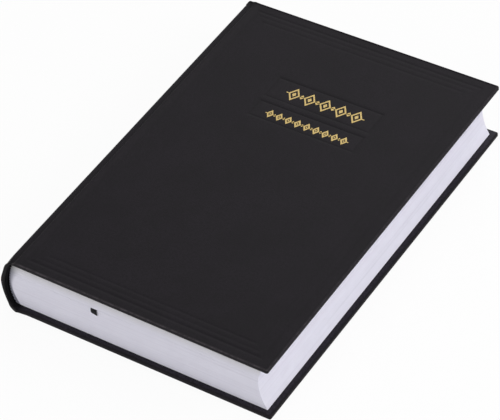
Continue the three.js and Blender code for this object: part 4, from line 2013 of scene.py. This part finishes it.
    def pressed_out(self, piece: Piece) -> None:
        """Moves a band that lies on the arc to where the block's spine leans.

        Args:
            piece: The band.
        """
        spots = np.empty(len(piece.data.vertices) * 3, np.float32)
        piece.data.vertices.foreach_get("co", spots)
        spots[::3] -= BOOK.lean(spots[2::3] / MM, self.band_offset) * MM
        piece.data.vertices.foreach_set("co", spots)
        piece.data.update()

    def build_bands(self) -> None:
        """Makes both bands and the cloth skirts that hold them."""
        tree = None
        wraps = round(2 * self.half_angle * self.band_arc / self.wraps_pitch)
        for end in End:
            node = f"{end.name.lower()}_band"
            y = end.value * self.band_y - BOOK.block_to_tail
            lengths = {
                "Arc X": BOOK.arc_centre_x - SPINE_TO_ORIGIN,
                "Arc Z": BOOK.middle,
                "Arc Radius": self.band_arc,
                "Band Y": y,
                "Band Radius": self.band_radius - self.wrap,
                "Thread Radius": self.wrap,
            }
            inputs = {label: length * MM for label, length in lengths.items()}
            inputs |= {"Wraps": wraps, "Half Angle": self.half_angle}
            tree = tree or self.band_tree(inputs)
            piece = self.core(f"{node}_wound", y)
            run_tree(piece, tree, {**inputs, "Material": self.palette["coil"]})
            self.pressed_out(piece)
            smooth(piece)
            dress(piece, self.palette["coil"], "band", node)
            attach(piece, "text_block")
            span = sorted((end.value * self.band_from, y - end.value * 0.3))
            skirt = self.layer(f"{node}_skirt", 0.85, 0.15, (span[0], span[1]))
            dress(skirt, self.palette["band"], "band", node)
            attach(skirt, "text_block")


@dataclass
class RibbonMarker:
    """The satin marker: glued on the spine, through the leaves, and out at the tail."""

    palette: Palette
    width: float = 4.0
    thickness: float = 0.08
    head_x: float = 12.5
    tail_x: float = 61.0
    hang: float = 3.45
    curl: float = 0.22
    bend: float = 0.35
    slant: float = 0.45
    slanted_rows: int = 9
    columns: int = 7
    glued_from: float = 113.5
    glued_outside: float = 0.38

    def line(self, z: float) -> list[Pair]:
        """The marker's line through the leaves and down the tail.

        Args:
            z: Its height between the leaves.

        Returns:
            Its points, as y and z.
        """
        tail = -BOOK.half_leaf - BOOK.block_to_tail - 0.05
        line = [(y, z) for y in spaced(BOOK.half_leaf, tail, 6.0)]
        low = z - self.bend
        for angle in np.radians([22, 45, 67, 90]):
            line.append((tail - self.bend * math.sin(angle), low + self.bend * math.cos(angle)))
        for drop in spaced(0.3, self.hang, 0.35)[1:]:
            curl = self.curl * math.sin(drop / self.hang * math.pi)
            line.append((tail - self.bend - curl, low - drop))
        return line

    def build(self) -> None:
        """Makes the marker as two strips joined in one piece."""
        under = BOOK.section_span(BOOK.ribbon_under)[0]
        z = under - (BOOK.ribbon_room + BOOK.section_gap) / 2
        line = self.line(z)
        across = np.linspace(-1, 1, self.columns)
        straight = len(line) - self.slanted_rows
        points, uv = [], []
        for i, ((y, height), far) in enumerate(zip(line, lengths_along(np.array(line)))):
            share = np.clip((BOOK.half_leaf - y) / BOOK.leaf_height, 0, 1)
            x = self.head_x + (self.tail_x - self.head_x) * share
            cut = self.slant * max(0.0, (i - straight) / (self.slanted_rows - 1))
            for place in across:
                points.append([x + place * self.width / 2, y, height - place * cut])
                uv.append([place * self.width / 2, far])
        faces = grid_faces(len(line), len(across))
        start = len(points)
        glued = spaced(self.glued_from, BOOK.half_leaf, 1.5)
        for y in glued:
            for place in across:
                height = z - self.width / 2 * (1 - place)
                points.append([BOOK.spine_x(height, self.glued_outside), y, height])
                uv.append([place * self.width / 2, y])
        faces += [face[::-1] for face in grid_faces(len(glued), len(across), start)]
        piece = make_piece("satin_marker", np.array(points), faces, np.array(uv) * MM)
        thicken(piece, self.thickness, 0.0)
        smooth(piece)
        dress(piece, self.palette["ribbon"], "ribbon", "ribbon_marker")
        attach(piece, "text_block")


# Studio


@dataclass
class Studio:
    """Camera, lamps, floor and background."""

    lens: float = 194.37
    sensor: float = 36.0
    camera_place: Place = (0.66796, -0.88873, 1.09119)
    target: Place = (0.003683, -0.012053, 0.0196)
    roll: float = -6.5158
    world_light: float = 0.5
    floor_light: float = 0.93
    floor_colour: Colour = (0.82, 0.82, 0.82)
    lamps: tuple[tuple[str, Place, float, float], ...] = (
        ("key", (1.05, 0.0, 0.7), 0.8, 7.0),
        ("head", (-0.2, 1.0, 1.1), 1.1, 7.0),
        ("tail", (-0.35, -1.2, 0.5), 1.0, 3.7),
    )

    def build(self) -> None:
        """Sets up everything that isn't the book."""
        self._camera()
        self._lamps()
        self._floor()
        self._world()
        bpy.context.scene.view_settings.view_transform = "Standard"

    def _camera(self) -> None:
        """Places the camera at the photograph's viewpoint."""
        data = bpy.data.cameras.new("camera")
        data.lens = self.lens
        data.sensor_width = self.sensor
        data.clip_start, data.clip_end = 0.05, 50.0
        camera = put_in_scene("camera", data)
        back = (Vector(self.camera_place) - Vector(self.target)).normalized()
        level = back.to_track_quat("Z", "Y").to_matrix().to_4x4()
        turned = level @ Matrix.Rotation(math.radians(self.roll), 4, "Z")
        camera.matrix_world = Matrix.Translation(self.camera_place) @ turned
        bpy.context.scene.camera = camera

    def _lamps(self) -> None:
        """Hangs the soft lamps, each turned to the book."""
        for name, place, size, power in self.lamps:
            data = bpy.data.lights.new(name, "AREA")
            data.shape = "DISK"
            data.size = size
            data.energy = power
            lamp = put_in_scene(name, data)
            lamp.location = place
            lamp.rotation_euler = Vector(place).to_track_quat("Z", "Y").to_euler()

    @staticmethod
    def _cleared(owner: Material | bpy.types.World) -> Graph:
        """An empty graph of a material or a world."""
        owner.use_nodes = True
        owner.node_tree.nodes.clear()
        return Graph(owner.node_tree)

    @staticmethod
    def _seen(graph: Graph) -> Wire:
        """1 for rays that show the background: from the camera, gloss or glass."""
        outputs = graph.add("ShaderNodeLightPath").outputs
        kinds = ("Camera", "Glossy", "Transmission")
        camera, gloss, glass = (Wire(graph, outputs[f"Is {kind} Ray"]) for kind in kinds)
        return camera.most(gloss.most(glass))

    def _floor(self) -> None:
        """Lays a pale floor that shows white and keeps the book's shadow."""
        mesh = bpy.data.meshes.new("floor")
        reach, drop = 4.0, -0.0002
        ways = ((-1, -1), (1, -1), (1, 1), (-1, 1))
        mesh.from_pydata([(x * reach, y * reach, drop) for x, y in ways], [], [(0, 1, 2, 3)])
        put_in_scene("floor", mesh)
        material = bpy.data.materials.new("floor")
        graph = self._cleared(material)
        matt = graph.get("ShaderNodeBsdfDiffuse", {"Color": (*self.floor_colour, 1.0)})
        white = graph.get("ShaderNodeEmission", {"Color": (1, 1, 1, 1), "Strength": 1.0})
        inputs = {0: self._seen(graph) * self.floor_light, 1: matt, 2: white}
        surface = graph.get("ShaderNodeMixShader", inputs)
        graph.add("ShaderNodeOutputMaterial", {"Surface": surface})
        mesh.materials.append(material)

    def _world(self) -> None:
        """Gives plain soft light, and white where the background is seen."""
        world = bpy.data.worlds.new("world")
        bpy.context.scene.world = world
        graph = self._cleared(world)
        rest = 1.0 - self.world_light
        strength = graph.math("MULTIPLY_ADD", self._seen(graph), rest, self.world_light)
        light = graph.get("ShaderNodeBackground", {"Color": (1, 1, 1, 1), "Strength": strength})
        graph.add("ShaderNodeOutputWorld", {"Surface": light})


def main() -> None:
    """Builds the book and its studio."""
    logging.basicConfig(level=logging.INFO, format="%(message)s")
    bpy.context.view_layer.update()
    palette = Palette(Effects())
    for side in Side:
        case, endpaper = CaseCloth(palette, side), Endpaper(palette, side)
        case.build()
        case.build_board()
        endpaper.build()
        endpaper.build_strip()
    row = figure_row()
    TitleOrnament(palette, "title_ornament_upper", 60.5, 69.5, 122.5, 5, 5.5).build(row)
    TitleOrnament(palette, "title_ornament_lower", 81.0, 68.0, 124.0, 9, 3.4).build(row)
    PageBlock(palette).build()
    TurningLeaf(palette, "front_flyleaf", 36.81, "endpaper", "endpaper").build()
    TurningLeaf(palette, "leaf_1", 36.64, "pages", "ruled_leaf").build()
    TurningLeaf(palette, "leaf_2", 36.48, "pages", "ruled_leaf").build()
    TurningLeaf(palette, "back_flyleaf", 2.39, "endpaper", "endpaper").build()
    layers = SpineLayers(palette)
    layers.build_cloths()
    layers.build_thread()
    layers.build_bands()
    RibbonMarker(palette).build()
    Studio().build()


if __name__ == "__main__":
    main()
